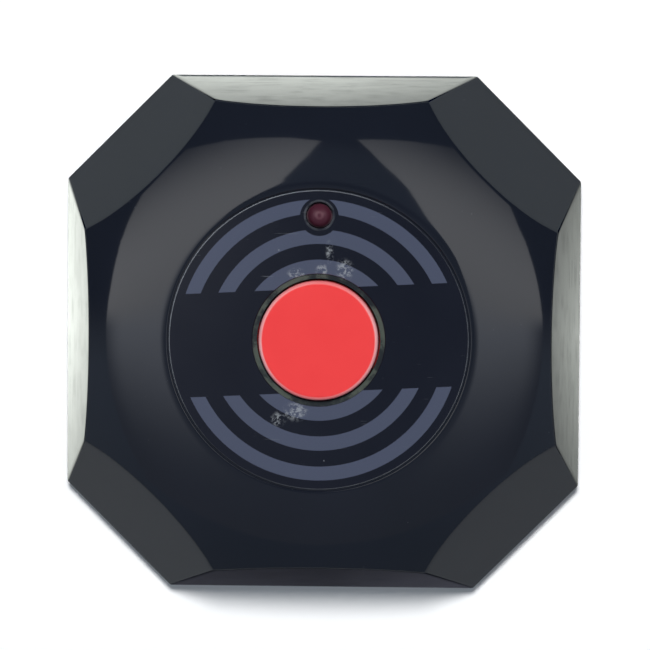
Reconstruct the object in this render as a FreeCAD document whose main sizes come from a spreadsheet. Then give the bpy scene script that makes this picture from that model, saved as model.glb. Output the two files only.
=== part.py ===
# FreeCAD macro: a one-key call button for a table or counter, in millimetres.
#
# The case lies on its back: +Z is up, out of the key; +Y points to the lamp; the origin is the
# middle of the flat underside. Driving dimensions sit in a spreadsheet, and every sub-part is bound
# to its cells. A Size carries both a number and the spreadsheet expression that gives it, so a
# formula is written once and stays live in the document. PAST is how far a cutting tool runs
# beyond what it cuts, and NEAR is how close two heights must be to count as one.
import FreeCAD, Part
import math
import os
import Sketcher

FULL_TURN = 360.0
NEAR = 1e-4
PAST = 1.0
SIDES = (-1, 1)
CORNERS = [(1, 1), (-1, 1), (-1, -1), (1, -1)]

SIZES = [
    # alias, millimetres (or a plain ratio), what it is
    ("across_flats", 60.0, "case, over two opposite sides at the parting line"),
    ("across_corners", 67.6, "case, over two opposite corner facets at the parting line"),
    ("side_slope", 0.32, "side facet, run in per millimetre of height"),
    ("corner_slope", 0.67, "corner facet, run in per millimetre of height"),
    ("rim_top", 2.3, "height of the parting line"),
    ("crown_fall", 15.5, "level run from the middle of the shoulder arc to the sides"),
    ("shoulder_spread", 8.6, "radius of the shoulder arc beyond the crown's fall"),
    ("crown_land", 0.2, "level crown left round the label recess"),
    ("brow_round", 5.0, "radius between the level crown and the shoulder arc"),
    ("brow_least", 1.0, "least run of the level crown past the middle of the shoulder arc"),
    ("edge_round", 0.6, "rounding of the upright edges"),
    ("crease_round", 0.35, "rounding between crown and facets"),
    ("foot_chamfer", 0.4, "chamfer under the base"),
    ("seam_chamfer", 0.2, "chamfer of the base along the parting line"),
    ("wall", 1.8, "wall of the cover"),
    ("base_floor", 1.6, "floor of the base"),
    ("tongue_wall", 1.0, "tongue of the base inside the cover"),
    ("tongue_rise", 1.6, "height of the tongue over the parting line"),
    ("tongue_gap", 0.15, "tongue to cover"),
    ("boss_radius", 2.5, "screw boss of the cover"),
    ("seat_gap", 0.2, "screw seat of the base to the cover's corner"),
    ("seat_radius", 3.1, "raised seat of the base under a boss"),
    ("seat_top", 3.0, "height at which seat and boss meet"),
    ("screw_radius", 0.9, "cover screw, shank"),
    ("screw_head", 2.0, "cover screw, radius of the head"),
    ("screw_head_rise", 1.2, "cover screw, height of the head"),
    ("head_sink", 0.2, "cover screw, head above the underside"),
    ("screw_reach", 4.8, "cover screw, grip inside the boss"),
    ("pilot_over", 0.4, "bore of a boss beyond the end of its screw"),
    ("thread_gap", 0.05, "screw shank to its bore"),
    ("head_gap", 0.25, "screw head to its counterbore, all round"),
    ("cross_length", 2.2, "cross slot of a screw"),
    ("cross_width", 0.5, "cross slot of a screw"),
    ("cross_depth", 0.6, "cross slot of a screw"),
    ("label_radius", 17.05, "face label"),
    ("label_sheet", 0.22, "face label, thickness"),
    ("label_gap", 0.2, "face label to the rim of its recess"),
    ("recess_wall", 0.29, "depth of the label recess at its rim"),
    ("recess_round", 0.12, "rounding round the label recess"),
    ("label_key_margin", 0.55, "label hole beyond the bore of the key"),
    ("key_radius", 6.8, "key"),
    ("key_proud", 0.9, "key above the crown"),
    ("key_round", 0.5, "key, rounding of its upper edge"),
    ("key_gap", 0.2, "key to its bore"),
    ("key_wall", 1.2, "key, skirt"),
    ("key_roof", 1.4, "key, top"),
    ("key_stem", 2.0, "key, radius of the middle stem"),
    ("key_rib", 0.9, "key, thickness of the cross ribs"),
    ("flange_reach", 1.5, "key flange beyond the skirt"),
    ("flange_sheet", 1.0, "key flange, thickness"),
    ("stop_gap", 0.1, "key flange to the collar over it"),
    ("key_travel", 0.5, "stroke of the key"),
    ("collar_wall", 1.3, "collar round the key"),
    ("lug_width", 2.4, "key lug that stops it turning"),
    ("lug_reach", 1.6, "key lug beyond the flange"),
    ("guide_gap", 0.25, "key lug to each guide rib"),
    ("guide_wall", 1.0, "guide rib"),
    ("guide_over", 0.4, "guide rib beyond the lug"),
    ("lamp_offset", 14.2, "lamp from the middle"),
    ("lamp_radius", 1.55, "lamp, lens"),
    ("lamp_length", 5.3, "lamp, flange to tip"),
    ("lamp_flange", 1.9, "lamp, radius of the flange"),
    ("lamp_flange_rise", 1.0, "lamp, height of the flange"),
    ("lamp_proud", 0.05, "lamp tip above the crown"),
    ("lamp_gap", 0.15, "lamp to its hole"),
    ("lamp_pitch", 2.54, "lamp, distance of the leads"),
    ("lead_radius", 0.25, "wire lead"),
    ("lead_end", 0.5, "length of a lead under the board"),
    ("tube_wall", 1.15, "guide tube round the lamp"),
    ("board_lift", 0.8, "board above the floor of the base"),
    ("board_sheet", 1.4, "board, thickness"),
    ("board_gap", 0.8, "board to the tongue"),
    ("notch_gap", 0.4, "board to the screw seats"),
    ("board_screw", 0.85, "board screw, shank"),
    ("board_head", 1.9, "board screw, radius of the head"),
    ("board_head_rise", 1.1, "board screw, height of the head"),
    ("board_screw_floor", 0.7, "floor left under a board screw"),
    ("board_screw_over", 0.2, "bore beyond the end of a board screw"),
    ("screw_post", 2.3, "post under a board screw"),
    ("screw_post_x", 21.3, "board screws from the middle"),
    ("screw_post_y", -2.0, "board screws, along Y"),
    ("pin_post", 1.8, "post with a locating pin"),
    ("pin_radius", 0.9, "locating pin"),
    ("pin_gap", 0.1, "locating pin to its hole"),
    ("pin_rise", 0.8, "locating pin above the board"),
    ("pin_left", -13.0, "left pin, along X"),
    ("pin_y", 21.3, "both pins, along Y"),
    ("switch_width", 12.0, "push switch, square"),
    ("switch_rise", 7.3, "push switch, board to plunger top"),
    ("switch_body", 3.6, "push switch, height of its housing"),
    ("switch_plate", 0.3, "push switch, metal cover"),
    ("switch_well", 4.6, "push switch, radius of the well"),
    ("switch_sole", 1.0, "push switch, floor of the well"),
    ("switch_side", 3.4, "push switch, turned-down side of the metal cover"),
    ("switch_side_lift", 0.8, "push switch, turned-down side above the board"),
    ("plunger_radius", 3.4, "plunger"),
    ("plunger_foot", 4.2, "plunger, radius of the foot"),
    ("plunger_gap", 0.2, "plunger to the metal cover"),
    ("snap_radius", 4.3, "snap dome, rim"),
    ("snap_rise", 0.7, "snap dome, height"),
    ("snap_sheet", 0.12, "snap dome, thickness"),
    ("leg_width", 1.0, "switch leg"),
    ("leg_sheet", 0.3, "switch leg, thickness"),
    ("leg_row", 5.0, "distance of the leg rows"),
    ("leg_rise", 0.8, "switch leg, height above the board"),
    ("leg_foot", 0.66, "switch leg, run into the housing"),
    ("cell_radius", 5.15, "battery"),
    ("cell_length", 28.5, "battery with its pole"),
    ("cell_round", 0.5, "battery, rounding of the ends"),
    ("cell_room", 2.0, "battery to the inside of the crown"),
    ("pole_radius", 2.4, "battery pole"),
    ("pole_rise", 1.0, "battery pole"),
    ("cell_strip", 2.5, "board left between switch and battery bay"),
    ("cell_gap", 0.55, "battery to the edge of the board"),
    ("cradle_lift", 0.4, "battery above the floor"),
    ("cradle_gap", 0.1, "battery to its cradle"),
    ("cradle_wall", 1.2, "cradle rib"),
    ("cradle_span", 1.7, "cradle rib, width for a saddle of radius 1"),
    ("cradle_depth", 0.45, "cradle rib below the battery's axis, for a saddle of radius 1"),
    ("cradle_place", 7.5, "cradle ribs from the middle"),
    ("spring_room", 2.4, "room for the contact spring"),
    ("spring_wire", 0.25, "contact spring, radius of the wire"),
    ("spring_coil", 2.3, "contact spring, mean radius at the plate"),
    ("spring_end", 1.7, "contact spring, mean radius at the battery"),
    ("plate_sheet", 0.4, "contact plates"),
    ("plate_half", 2.6, "contact plates, half width"),
    ("plate_top", 11.2, "contact plates, height of the upper edge"),
    ("plate_gap", 0.05, "contact plates to their ribs"),
    ("tab_reach", 2.0, "contact plates, tab over the board"),
    ("tab_width", 1.6, "contact plates, tab"),
    ("tab_length", 1.8, "contact plates, tab"),
    ("slot_wall", 0.8, "ribs that grip a contact plate"),
    ("slot_width", 1.2, "ribs that grip a contact plate, along the plate"),
    ("slot_inset", 0.6, "ribs that grip a contact plate, from its edge"),
    ("slot_rise", 4.4, "ribs that grip a contact plate, height"),
    ("coil_radius", 2.2, "antenna coil, mean radius"),
    ("coil_wire", 0.35, "antenna coil, radius of the wire"),
    ("coil_pitch", 1.7, "antenna coil, length of a turn"),
    ("coil_x", 3.6, "antenna coil, first leg"),
    ("coil_y", 20.8, "antenna coil, along Y"),
]


class Size:
    """A number together with the spreadsheet expression that gives it."""

    def __init__(self, number, text):
        self.number = number
        self.text = text

    def __add__(self, other):
        other = as_size(other)
        return Size(self.number + other.number, f"({self.text} + {other.text})")

    def __sub__(self, other):
        other = as_size(other)
        return Size(self.number - other.number, f"({self.text} - {other.text})")

    def __mul__(self, other):
        other = as_size(other)
        return Size(self.number * other.number, f"({self.text} * {other.text})")

    def __truediv__(self, other):
        other = as_size(other)
        return Size(self.number / other.number, f"({self.text} / {other.text})")

    def __neg__(self):
        return Size(-self.number, f"(0 - {self.text})")

    def __radd__(self, other):
        return as_size(other) + self

    def __rsub__(self, other):
        return as_size(other) - self

    def __rmul__(self, other):
        return as_size(other) * self


def as_size(value):
    """A plain number becomes a Size, and a Size stays as it is."""
    if isinstance(value, Size):
        return value
    return Size(float(value), f"({float(value)})")


def root(value):
    """Square root, live in the document."""
    return Size(math.sqrt(value.number), f"sqrt({value.text})")


def at_least(value, lowest):
    """The larger of the two, live in the document."""
    return Size(max(value.number, lowest.number), f"max({value.text}; {lowest.text})")


doc = FreeCAD.newDocument("call_button")
sheet = doc.addObject("Spreadsheet::Sheet", "sizes")
cell = {}
for row, (alias, number, meaning) in enumerate(SIZES, start=1):
    sheet.set(f"A{row}", meaning)
    sheet.set(f"B{row}", str(number))
    sheet.setAlias(f"B{row}", alias)
    cell[alias] = Size(number, f"sizes.{alias}")
doc.recompute()

SQUARE_ROOT_2 = math.sqrt(2.0)


# ---------------------------------------------------------------- document helpers

def bind(thing, name, value):
    """Tie one property of a document object to the spreadsheet."""
    value = as_size(value)
    thing.setExpression(name, value.text)


def place(thing, x=0.0, y=0.0, z=0.0, rotation=None):
    """Put a primitive somewhere, with its place tied to the spreadsheet."""
    spots = [as_size(x), as_size(y), as_size(z)]
    turn = rotation if rotation else FreeCAD.Rotation()
    thing.Placement = FreeCAD.Placement(FreeCAD.Vector(*[spot.number for spot in spots]), turn)
    for letter, spot in zip("xyz", spots):
        bind(thing, f".Placement.Base.{letter}", spot)
    return thing


def turn_about(axis, degrees):
    return FreeCAD.Rotation(FreeCAD.Vector(*axis), degrees)


ALONG_X = turn_about((0, 1, 0), 90)


def block(name, length, width, height, x=0.0, y=0.0, z=0.0):
    """A box whose middle is at x, y and whose underside is at z."""
    length = as_size(length)
    width = as_size(width)
    solid = doc.addObject("Part::Box", name)
    bind(solid, "Length", length)
    bind(solid, "Width", width)
    bind(solid, "Height", height)
    return place(solid, as_size(x) - length / 2, as_size(y) - width / 2, z)


def rod(name, radius, height, x=0.0, y=0.0, z=0.0, rotation=None):
    solid = doc.addObject("Part::Cylinder", name)
    bind(solid, "Radius", radius)
    bind(solid, "Height", height)
    return place(solid, x, y, z, rotation)


def ball(name, radius, x=0.0, y=0.0, z=0.0):
    solid = doc.addObject("Part::Sphere", name)
    bind(solid, "Radius", radius)
    return place(solid, x, y, z)


def fuse(name, solids):
    joined = doc.addObject("Part::MultiFuse", name)
    joined.Shapes = solids
    return joined


def overlap(name, solids):
    shared = doc.addObject("Part::MultiCommon", name)
    shared.Shapes = solids
    return shared


def cut(name, solid, tool):
    rest = doc.addObject("Part::Cut", name)
    rest.Base = solid
    rest.Tool = tool
    return rest


def group(name, solids):
    """Separate solids that share one node."""
    together = doc.addObject("Part::Compound", name)
    together.Links = solids
    return together


def rounded(name, solid, radius, wanted):
    """Fillet the edges that a test picks, on a shape made by primitives."""
    doc.recompute()
    soft = doc.addObject("Part::Fillet", name)
    soft.Base = solid
    numbers = [n for n, edge in enumerate(solid.Shape.Edges, start=1) if wanted(edge)]
    soft.Edges = [(n, as_size(radius).number, as_size(radius).number) for n in numbers]
    return soft


def new_body(name):
    return doc.addObject("PartDesign::Body", name)


def origin_feature(body, role):
    return [feature for feature in body.Origin.OriginFeatures if feature.Role == role][0]


def new_sketch(body, name, plane="XY_Plane", lift=0.0, turn=0.0):
    """A sketch on one of the body's own planes, lifted along it or turned about its upright axis."""
    lift = as_size(lift)
    sketch = body.newObject("Sketcher::SketchObject", name)
    sketch.AttachmentSupport = [(origin_feature(body, plane), "")]
    sketch.MapMode = "FlatFace"
    upright = turn_about((0, 1, 0), turn)
    sketch.AttachmentOffset = FreeCAD.Placement(FreeCAD.Vector(0, 0, lift.number), upright)
    bind(sketch, "AttachmentOffset.Base.z", lift)
    return sketch


def pin(sketch, curve, end, x, y):
    """Hold one point of a sketch at x, y, tied to the spreadsheet."""
    for kind, value in (("DistanceX", as_size(x)), ("DistanceY", as_size(y))):
        number = sketch.addConstraint(Sketcher.Constraint(kind, -1, 1, curve, end, value.number))
        bind(sketch, f"Constraints[{number}]", value)


def flat_vector(point):
    return FreeCAD.Vector(as_size(point[0]).number, as_size(point[1]).number, 0)


def outline(sketch, points):
    """A closed outline of straight runs."""
    first = sketch.GeometryCount
    for start, end in zip(points, points[1:] + points[:1]):
        sketch.addGeometry(Part.LineSegment(flat_vector(start), flat_vector(end)), False)
    for step, point in enumerate(points):
        following = first + (step + 1) % len(points)
        sketch.addConstraint(Sketcher.Constraint("Coincident", first + step, 2, following, 1))
        pin(sketch, first + step, 1, *point)


def ring(sketch, radius, x=0.0, y=0.0):
    """A full circle."""
    radius = as_size(radius)
    circle = Part.Circle(flat_vector((x, y)), FreeCAD.Vector(0, 0, 1), radius.number)
    curve = sketch.addGeometry(circle, False)
    pin(sketch, curve, 3, x, y)
    number = sketch.addConstraint(Sketcher.Constraint("Radius", curve, radius.number))
    bind(sketch, f"Constraints[{number}]", radius)


def eight_sides(sketch, flats, corners):
    """The outline of the case: a square of half width flats, its corners cut off at corners."""
    end = corners * SQUARE_ROOT_2 - flats
    quarter = [(flats, end), (end, flats)]
    points = []
    for x, y in quarter:
        points.append((x, y))
    for x, y in reversed(quarter):
        points.append((-x, y))
    for x, y in quarter:
        points.append((-x, -y))
    for x, y in reversed(quarter):
        points.append((x, -y))
    outline(sketch, points)


def feature(body, kind, name, sketch, length=None, **settings):
    """A pad, pocket or revolution from a sketch."""
    made = body.newObject(f"PartDesign::{kind}", name)
    made.Profile = sketch
    if length is not None:
        bind(made, "Length", length)
    for key, value in settings.items():
        setattr(made, key, value)
    sketch.Visibility = False
    return made


def spun(body, name, sketch):
    """A full turn of a profile, drawn on the XZ plane, about Z."""
    axis = (origin_feature(body, "Z_Axis"), [""])
    return feature(body, "Revolution", name, sketch, ReferenceAxis=axis, Angle=FULL_TURN)


def round_pattern(body, name, original, count):
    """Copies of a feature round Z."""
    pattern = body.newObject("PartDesign::PolarPattern", name)
    pattern.Originals = [original]
    pattern.Axis = (origin_feature(body, "Z_Axis"), [""])
    pattern.Angle = FULL_TURN
    pattern.Occurrences = count
    body.Tip = pattern
    return pattern


def edge_names(shape, wanted):
    return [f"Edge{n}" for n, edge in enumerate(shape.Edges, start=1) if wanted(edge)]


def dress(body, kind, name, base, size, wanted):
    """A fillet or chamfer on the edges of a feature that a test picks."""
    doc.recompute()
    made = body.newObject(f"PartDesign::{kind}", name)
    made.Base = (base, edge_names(base.Shape, wanted))
    bind(made, "Radius" if kind == "Fillet" else "Size", size)
    body.Tip = made
    return made


def ends(edge):
    return [vertex.Point for vertex in edge.Vertexes]


def is_level(edge, height):
    """Whether an edge lies flat at a height."""
    return abs(edge.BoundBox.ZMin - height.number) < NEAR and abs(edge.BoundBox.ZMax - height.number) < NEAR


def winding(name, start_radius, end_radius, pitch, half_turns, wire):
    """A coil of wire about Z, made of tilted half rings whose ends meet squarely.

    Each half ring runs from one side of the axis to the other and climbs half a pitch. Its ends
    point along Y, as those of the next one do, so the line is smooth. The wire is six-sided,
    which keeps a small round wire to a few faces.
    """
    rings = []
    narrowing = (as_size(end_radius) - start_radius) / half_turns
    climb = pitch / 2
    for number in range(half_turns):
        near = start_radius + narrowing * number
        far = start_radius + narrowing * (number + 1)
        side = -1 if number % 2 else 1
        width = near + far
        section = doc.addObject("Part::RegularPolygon", f"{name}_section_{number + 1}")
        section.Polygon = 6
        bind(section, "Circumradius", wire)
        place(section, root(width * width + climb * climb) / 2, 0, 0, turn_about((1, 0, 0), 90))
        half = doc.addObject("Part::Revolution", f"{name}_half_{number + 1}")
        half.Source = section
        half.Axis = (0, 0, 1)
        half.Base = (0, 0, 0)
        half.Angle = FULL_TURN / 2
        half.Solid = True
        tilt = math.degrees(math.atan2(climb.number, width.number))
        turn = turn_about((0, 1, 0), tilt * side).multiply(turn_about((0, 0, 1), number % 2 * FULL_TURN / 2))
        rings.append(place(half, (near - far) / 2 * side, 0, climb * (number + 0.5), turn))
    return fuse(name, rings)


# ---------------------------------------------------------------- shared places

half_flats = cell["across_flats"] / 2
half_corners = cell["across_corners"] / 2
recess_radius = cell["label_radius"] + cell["label_gap"]

# The battery is the tallest thing inside, so it sets how high the crown stands.
ceiling = cell["base_floor"] + cell["cradle_lift"] + cell["cell_radius"] * 2 + cell["cell_room"]
recess_floor = ceiling + cell["wall"]
crown_top = recess_floor + cell["recess_wall"]

# The dome in section: a level crown, a short brow arc and the long shoulder arc, each tangent to the next.
shoulder = cell["crown_fall"] + cell["shoulder_spread"]
shoulder_x = half_flats - cell["crown_fall"]
recess_land = recess_radius + cell["recess_round"] + cell["crown_land"]
brow_run = at_least(recess_land - shoulder_x, cell["brow_least"])
brow_x = shoulder_x + brow_run
brow_z = crown_top - cell["brow_round"]
between_arcs = shoulder - cell["brow_round"]
shoulder_z = brow_z - root(between_arcs * between_arcs - brow_run * brow_run)
brow_end_x = shoulder_x + brow_run * shoulder / between_arcs
brow_end_z = shoulder_z + (brow_z - shoulder_z) * shoulder / between_arcs

# How far a sloping wall's inner face lies inside its outer face, measured level.
side_wall = cell["wall"] * root(1 + cell["side_slope"] * cell["side_slope"])
corner_wall = cell["wall"] * root(1 + cell["corner_slope"] * cell["corner_slope"])

# The tongue stands upright, so it clears the sloping walls at its own top.
tongue_top = cell["rim_top"] + cell["tongue_rise"]
tongue_flats = half_flats - side_wall - cell["side_slope"] * cell["tongue_rise"] - cell["tongue_gap"]
tongue_corners = (half_corners - corner_wall - cell["corner_slope"] * cell["tongue_rise"]
                  - cell["tongue_gap"] * 2)
tongue_half = tongue_corners * SQUARE_ROOT_2 - tongue_flats
tray_flats = tongue_flats - cell["tongue_wall"]
tray_corners = half_corners - corner_wall - cell["tongue_gap"] - cell["tongue_wall"]

seat_corners = half_corners - corner_wall - cell["corner_slope"] * (cell["seat_top"] - cell["rim_top"])
boss_place = (seat_corners - cell["seat_gap"] - cell["seat_radius"]) / SQUARE_ROOT_2

board_under = cell["base_floor"] + cell["board_lift"]
board_top = board_under + cell["board_sheet"]

plunger_top = board_top + cell["switch_rise"]
flange_top = plunger_top + cell["flange_sheet"]
collar_end = flange_top + cell["stop_gap"]
key_top = crown_top + cell["key_proud"]
key_bore = cell["key_radius"] + cell["key_gap"]
flange_radius = cell["key_radius"] + cell["flange_reach"]

lamp_top = crown_top + cell["lamp_proud"]
lamp_foot = lamp_top - cell["lamp_length"]
lamp_bore = cell["lamp_radius"] + cell["lamp_gap"]

cell_y = -(cell["switch_width"] / 2 + cell["cell_strip"] + cell["cell_gap"] + cell["cell_radius"])
cell_z = cell["base_floor"] + cell["cradle_lift"] + cell["cell_radius"]
cell_end = cell["cell_length"] / 2
bay_edge = cell_y + cell["cell_radius"] + cell["cell_gap"]

screw_seat = cell["screw_head_rise"] + cell["head_sink"]


# ---------------------------------------------------------------- the case

def crown_form(name, top, flat, arc_radius, flats, corners, soft):
    """The outer form of the cover, or of the hollow inside it.

    A domed crown is spun from a flat and a shoulder arc, with a brow arc between them if the form
    is soft. Four side facets and four corner facets, each one sloping plane, then shave it down to
    the eight-sided outline at the parting line.
    """
    body = new_body(name)
    low = cell["rim_top"]

    profile = new_sketch(body, f"{name}_profile", "XZ_Plane")
    rim = shoulder_x + root(arc_radius * arc_radius - (low - shoulder_z) * (low - shoulder_z))
    arc_top = (brow_end_x, brow_end_z) if soft else (flat, top)
    start = math.atan2((low - shoulder_z).number, (rim - shoulder_x).number)
    finish = math.atan2((arc_top[1] - shoulder_z).number, (arc_top[0] - shoulder_x).number)
    upright = FreeCAD.Vector(0, 0, 1)
    circle = Part.Circle(flat_vector((shoulder_x, shoulder_z)), upright, arc_radius.number)
    axis = profile.addGeometry(Part.LineSegment(flat_vector((0, low)), flat_vector((0, top))), False)
    crown = profile.addGeometry(Part.LineSegment(flat_vector((0, top)), flat_vector((flat, top))), False)
    arc = profile.addGeometry(Part.ArcOfCircle(circle, start, finish), False)
    foot = profile.addGeometry(Part.LineSegment(flat_vector((rim, low)), flat_vector((0, low))), False)
    meetings = [(axis, 2, crown, 1), (arc, 1, foot, 1), (foot, 2, axis, 1)]
    if soft:
        small = Part.Circle(flat_vector((brow_x, brow_z)), upright, cell["brow_round"].number)
        brow = profile.addGeometry(Part.ArcOfCircle(small, finish, math.pi / 2), False)
        meetings += [(crown, 2, brow, 2), (brow, 1, arc, 2)]
    else:
        meetings.append((crown, 2, arc, 2))
    for curve, end, following, beginning in meetings:
        profile.addConstraint(Sketcher.Constraint("Coincident", curve, end, following, beginning))
    pin(profile, axis, 1, 0, low)
    pin(profile, crown, 1, 0, top)
    pin(profile, crown, 2, flat, top)
    pin(profile, arc, 3, shoulder_x, shoulder_z)
    held = [("DistanceY", foot, low)]
    if soft:
        pin(profile, brow, 3, brow_x, brow_z)
        held.append(("DistanceX", brow, brow_end_x))
    for kind, curve, value in held:
        number = profile.addConstraint(Sketcher.Constraint(kind, -1, 1, curve, 1, value.number))
        bind(profile, f"Constraints[{number}]", value)
    last = spun(body, f"{name}_crown", profile)

    height = top - low + PAST
    outside = rim + PAST
    for facet, distance, slope, turn in (("side", flats, cell["side_slope"], 0.0),
                                         ("corner", corners, cell["corner_slope"], 45.0)):
        shaving = new_sketch(body, f"{name}_{facet}_shaving", "XZ_Plane", turn=turn)
        outline(shaving, [
            (distance + slope * PAST, low - PAST),
            (outside, low - PAST),
            (outside, low + height),
            (distance - slope * height, low + height),
        ])
        pocket = feature(body, "Pocket", f"{name}_{facet}_facet", shaving, outside * 2, Midplane=True)
        last = round_pattern(body, f"{name}_{facet}_facets", pocket, len(CORNERS))

    if soft:
        def between_facets(edge):
            points = ends(edge)
            lowest = min(point.z for point in points)
            return abs(lowest - low.number) < NEAR and not is_level(edge, low)

        def between_facet_and_crown(edge):
            lowest = min(point.z for point in ends(edge))
            bent = edge.Curve.TypeId != "Part::GeomLine"
            return bent and len(edge.Vertexes) == 2 and lowest > low.number + NEAR

        last = dress(body, "Fillet", f"{name}_upright_edges", last, cell["edge_round"], between_facets)
        last = dress(body, "Fillet", f"{name}_creases", last, cell["crease_round"], between_facet_and_crown)
    return body


def corner_rods(name, radius, bottom, top):
    """Four equal rods at the screw places."""
    return [rod(f"{name}_{n}", radius, top - bottom, boss_place * x, boss_place * y, bottom)
            for n, (x, y) in enumerate(CORNERS, start=1)]


def make_top_cover():
    """The moulded upper shell: faceted dome, cored to an even wall, with all it carries inside."""
    outer = crown_form("cover_outside", crown_top, brow_x, shoulder, half_flats, half_corners, True)
    core_arc = shoulder - cell["wall"]
    rise = ceiling - shoulder_z
    core_flat = shoulder_x + root(core_arc * core_arc - rise * rise)
    core = crown_form("cover_inside", ceiling, core_flat, core_arc,
                      half_flats - side_wall, half_corners - corner_wall, False)
    shell = cut("cover_shell", outer, core)

    into_ceiling = ceiling + cell["wall"] / 2
    inner_parts = corner_rods("cover_boss", cell["boss_radius"], cell["seat_top"], crown_top)
    inner_parts.append(rod("cover_collar", key_bore + cell["collar_wall"], into_ceiling - collar_end,
                           z=collar_end))
    tube_end = lamp_foot + cell["lamp_flange_rise"] + cell["stop_gap"]
    inner_parts.append(rod("cover_lamp_tube", lamp_bore + cell["tube_wall"], into_ceiling - tube_end,
                           y=cell["lamp_offset"], z=tube_end))
    guide_end = plunger_top - cell["key_travel"]
    guide_start = key_bore + cell["collar_wall"] / 2
    guide_stop = flange_radius + cell["lug_reach"] + cell["guide_over"]
    guide_y = cell["lug_width"] / 2 + cell["guide_gap"] + cell["guide_wall"] / 2
    for number, (x, y) in enumerate(CORNERS, start=1):
        inner_parts.append(block(f"cover_guide_{number}", guide_stop - guide_start, cell["guide_wall"],
                                 into_ceiling - guide_end, (guide_start + guide_stop) / 2 * x,
                                 guide_y * y, guide_end))
    carried = overlap("cover_carried", [outer, fuse("cover_inner_parts", inner_parts)])
    solid = fuse("cover_solid", [shell, carried])

    bores = [
        rod("cover_recess", recess_radius, cell["recess_wall"] + PAST, z=recess_floor),
        rod("cover_key_bore", key_bore, crown_top, z=board_top),
        rod("cover_flange_room", flange_radius + cell["key_gap"], collar_end - board_top, z=board_top),
        rod("cover_lamp_hole", lamp_bore, crown_top, y=cell["lamp_offset"], z=board_top),
    ]
    bores += corner_rods("cover_pilot", cell["screw_radius"] + cell["thread_gap"], cell["seat_top"] - PAST,
                         cell["seat_top"] + cell["screw_reach"] + cell["pilot_over"])
    bored = cut("cover_bored", solid, fuse("cover_bores", bores))

    def recess_rim(edge):
        return is_level(edge, crown_top) and edge.BoundBox.XMax < recess_radius.number + NEAR

    return rounded("top_cover", bored, cell["recess_round"], recess_rim)


def make_base_cover():
    """The tray under the case, with its tongue, screw seats, board posts, cradles and contact slots."""
    body = new_body("base_tray")
    low = Size(0.0, "0")
    rim = new_sketch(body, "base_rim_outline")
    eight_sides(rim, half_flats, half_corners)
    last = feature(body, "Pad", "base_rim", rim, cell["rim_top"])

    def upright_rim(edge):
        points = ends(edge)
        return len(points) == 2 and {round(point.z, 3) for point in points} == {0.0, cell["rim_top"].number}

    def under_rim(edge):
        return is_level(edge, low)

    def along_seam(edge):
        return is_level(edge, cell["rim_top"])

    last = dress(body, "Fillet", "base_upright_edges", last, cell["edge_round"], upright_rim)
    last = dress(body, "Chamfer", "base_foot_edge", last, cell["foot_chamfer"], under_rim)
    dress(body, "Chamfer", "base_seam_edge", last, cell["seam_chamfer"], along_seam)
    hollow = new_sketch(body, "base_hollow_outline", lift=cell["rim_top"])
    eight_sides(hollow, tray_flats, tray_corners)
    feature(body, "Pocket", "base_hollow", hollow, cell["rim_top"] - cell["base_floor"])
    tongue = new_sketch(body, "base_tongue_outline", lift=cell["rim_top"])
    outline(tongue, [(-tongue_half, tray_flats), (tongue_half, tray_flats),
                     (tongue_half, tongue_flats), (-tongue_half, tongue_flats)])
    bar = feature(body, "Pad", "base_tongue", tongue, cell["tongue_rise"])
    round_pattern(body, "base_tongues", bar, len(CORNERS))

    sunk = cell["base_floor"] / 2
    adds = corner_rods("base_seat", cell["seat_radius"], sunk, cell["seat_top"])
    adds.append(rod("base_switch_post", cell["switch_well"], board_under - sunk, z=sunk))
    for side in SIDES:
        adds.append(rod(f"base_screw_post_{side + 2}", cell["screw_post"], board_under - sunk,
                        cell["screw_post_x"] * side, cell["screw_post_y"], sunk))
        adds.append(cradle(f"base_cradle_{side + 2}", cell["cradle_place"] * side, sunk))
    for number, x in enumerate((cell["pin_left"], as_size(0)), start=1):
        adds.append(rod(f"base_pin_post_{number}", cell["pin_post"], board_under - sunk,
                        x, cell["pin_y"], sunk))
        adds.append(rod(f"base_pin_{number}", cell["pin_radius"], board_top + cell["pin_rise"] - sunk,
                        x, cell["pin_y"], sunk))
    for name, x in (("minus", plate_place(-1)), ("plus", plate_place(1))):
        adds += contact_slot(name, x, sunk)
    solid = fuse("base_solid", [body] + adds)

    bores = corner_rods("base_counterbore", cell["screw_head"] + cell["head_gap"], as_size(-PAST),
                        screw_seat)
    bores += corner_rods("base_clearance", cell["screw_radius"] + cell["head_gap"], as_size(-PAST),
                         cell["seat_top"] + PAST)
    for side in SIDES:
        bores.append(rod(f"base_board_pilot_{side + 2}", cell["board_screw"] + cell["thread_gap"],
                         board_top, cell["screw_post_x"] * side, cell["screw_post_y"],
                         cell["board_screw_floor"]))
    return cut("base_cover", solid, fuse("base_bores", bores))


def cradle(name, x, bottom):
    """A rib with a round saddle under the battery."""
    saddle = cell["cell_radius"] + cell["cradle_gap"]
    rib = block(f"{name}_rib", cell["cradle_wall"], saddle * cell["cradle_span"],
                cell_z - saddle * cell["cradle_depth"] - bottom, x, cell_y, bottom)
    seat = rod(f"{name}_saddle", saddle, cell["cradle_wall"] + 2 * PAST, x - cell["cradle_wall"] / 2 - PAST,
               cell_y, cell_z, ALONG_X)
    return cut(name, rib, seat)


def plate_place(side):
    """Where the middle of a contact plate stands, -1 for the spring end and 1 for the pole end."""
    reach = cell_end + cell["plate_sheet"] / 2
    if side < 0:
        reach = reach + cell["spring_room"]
    return reach * side


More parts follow.
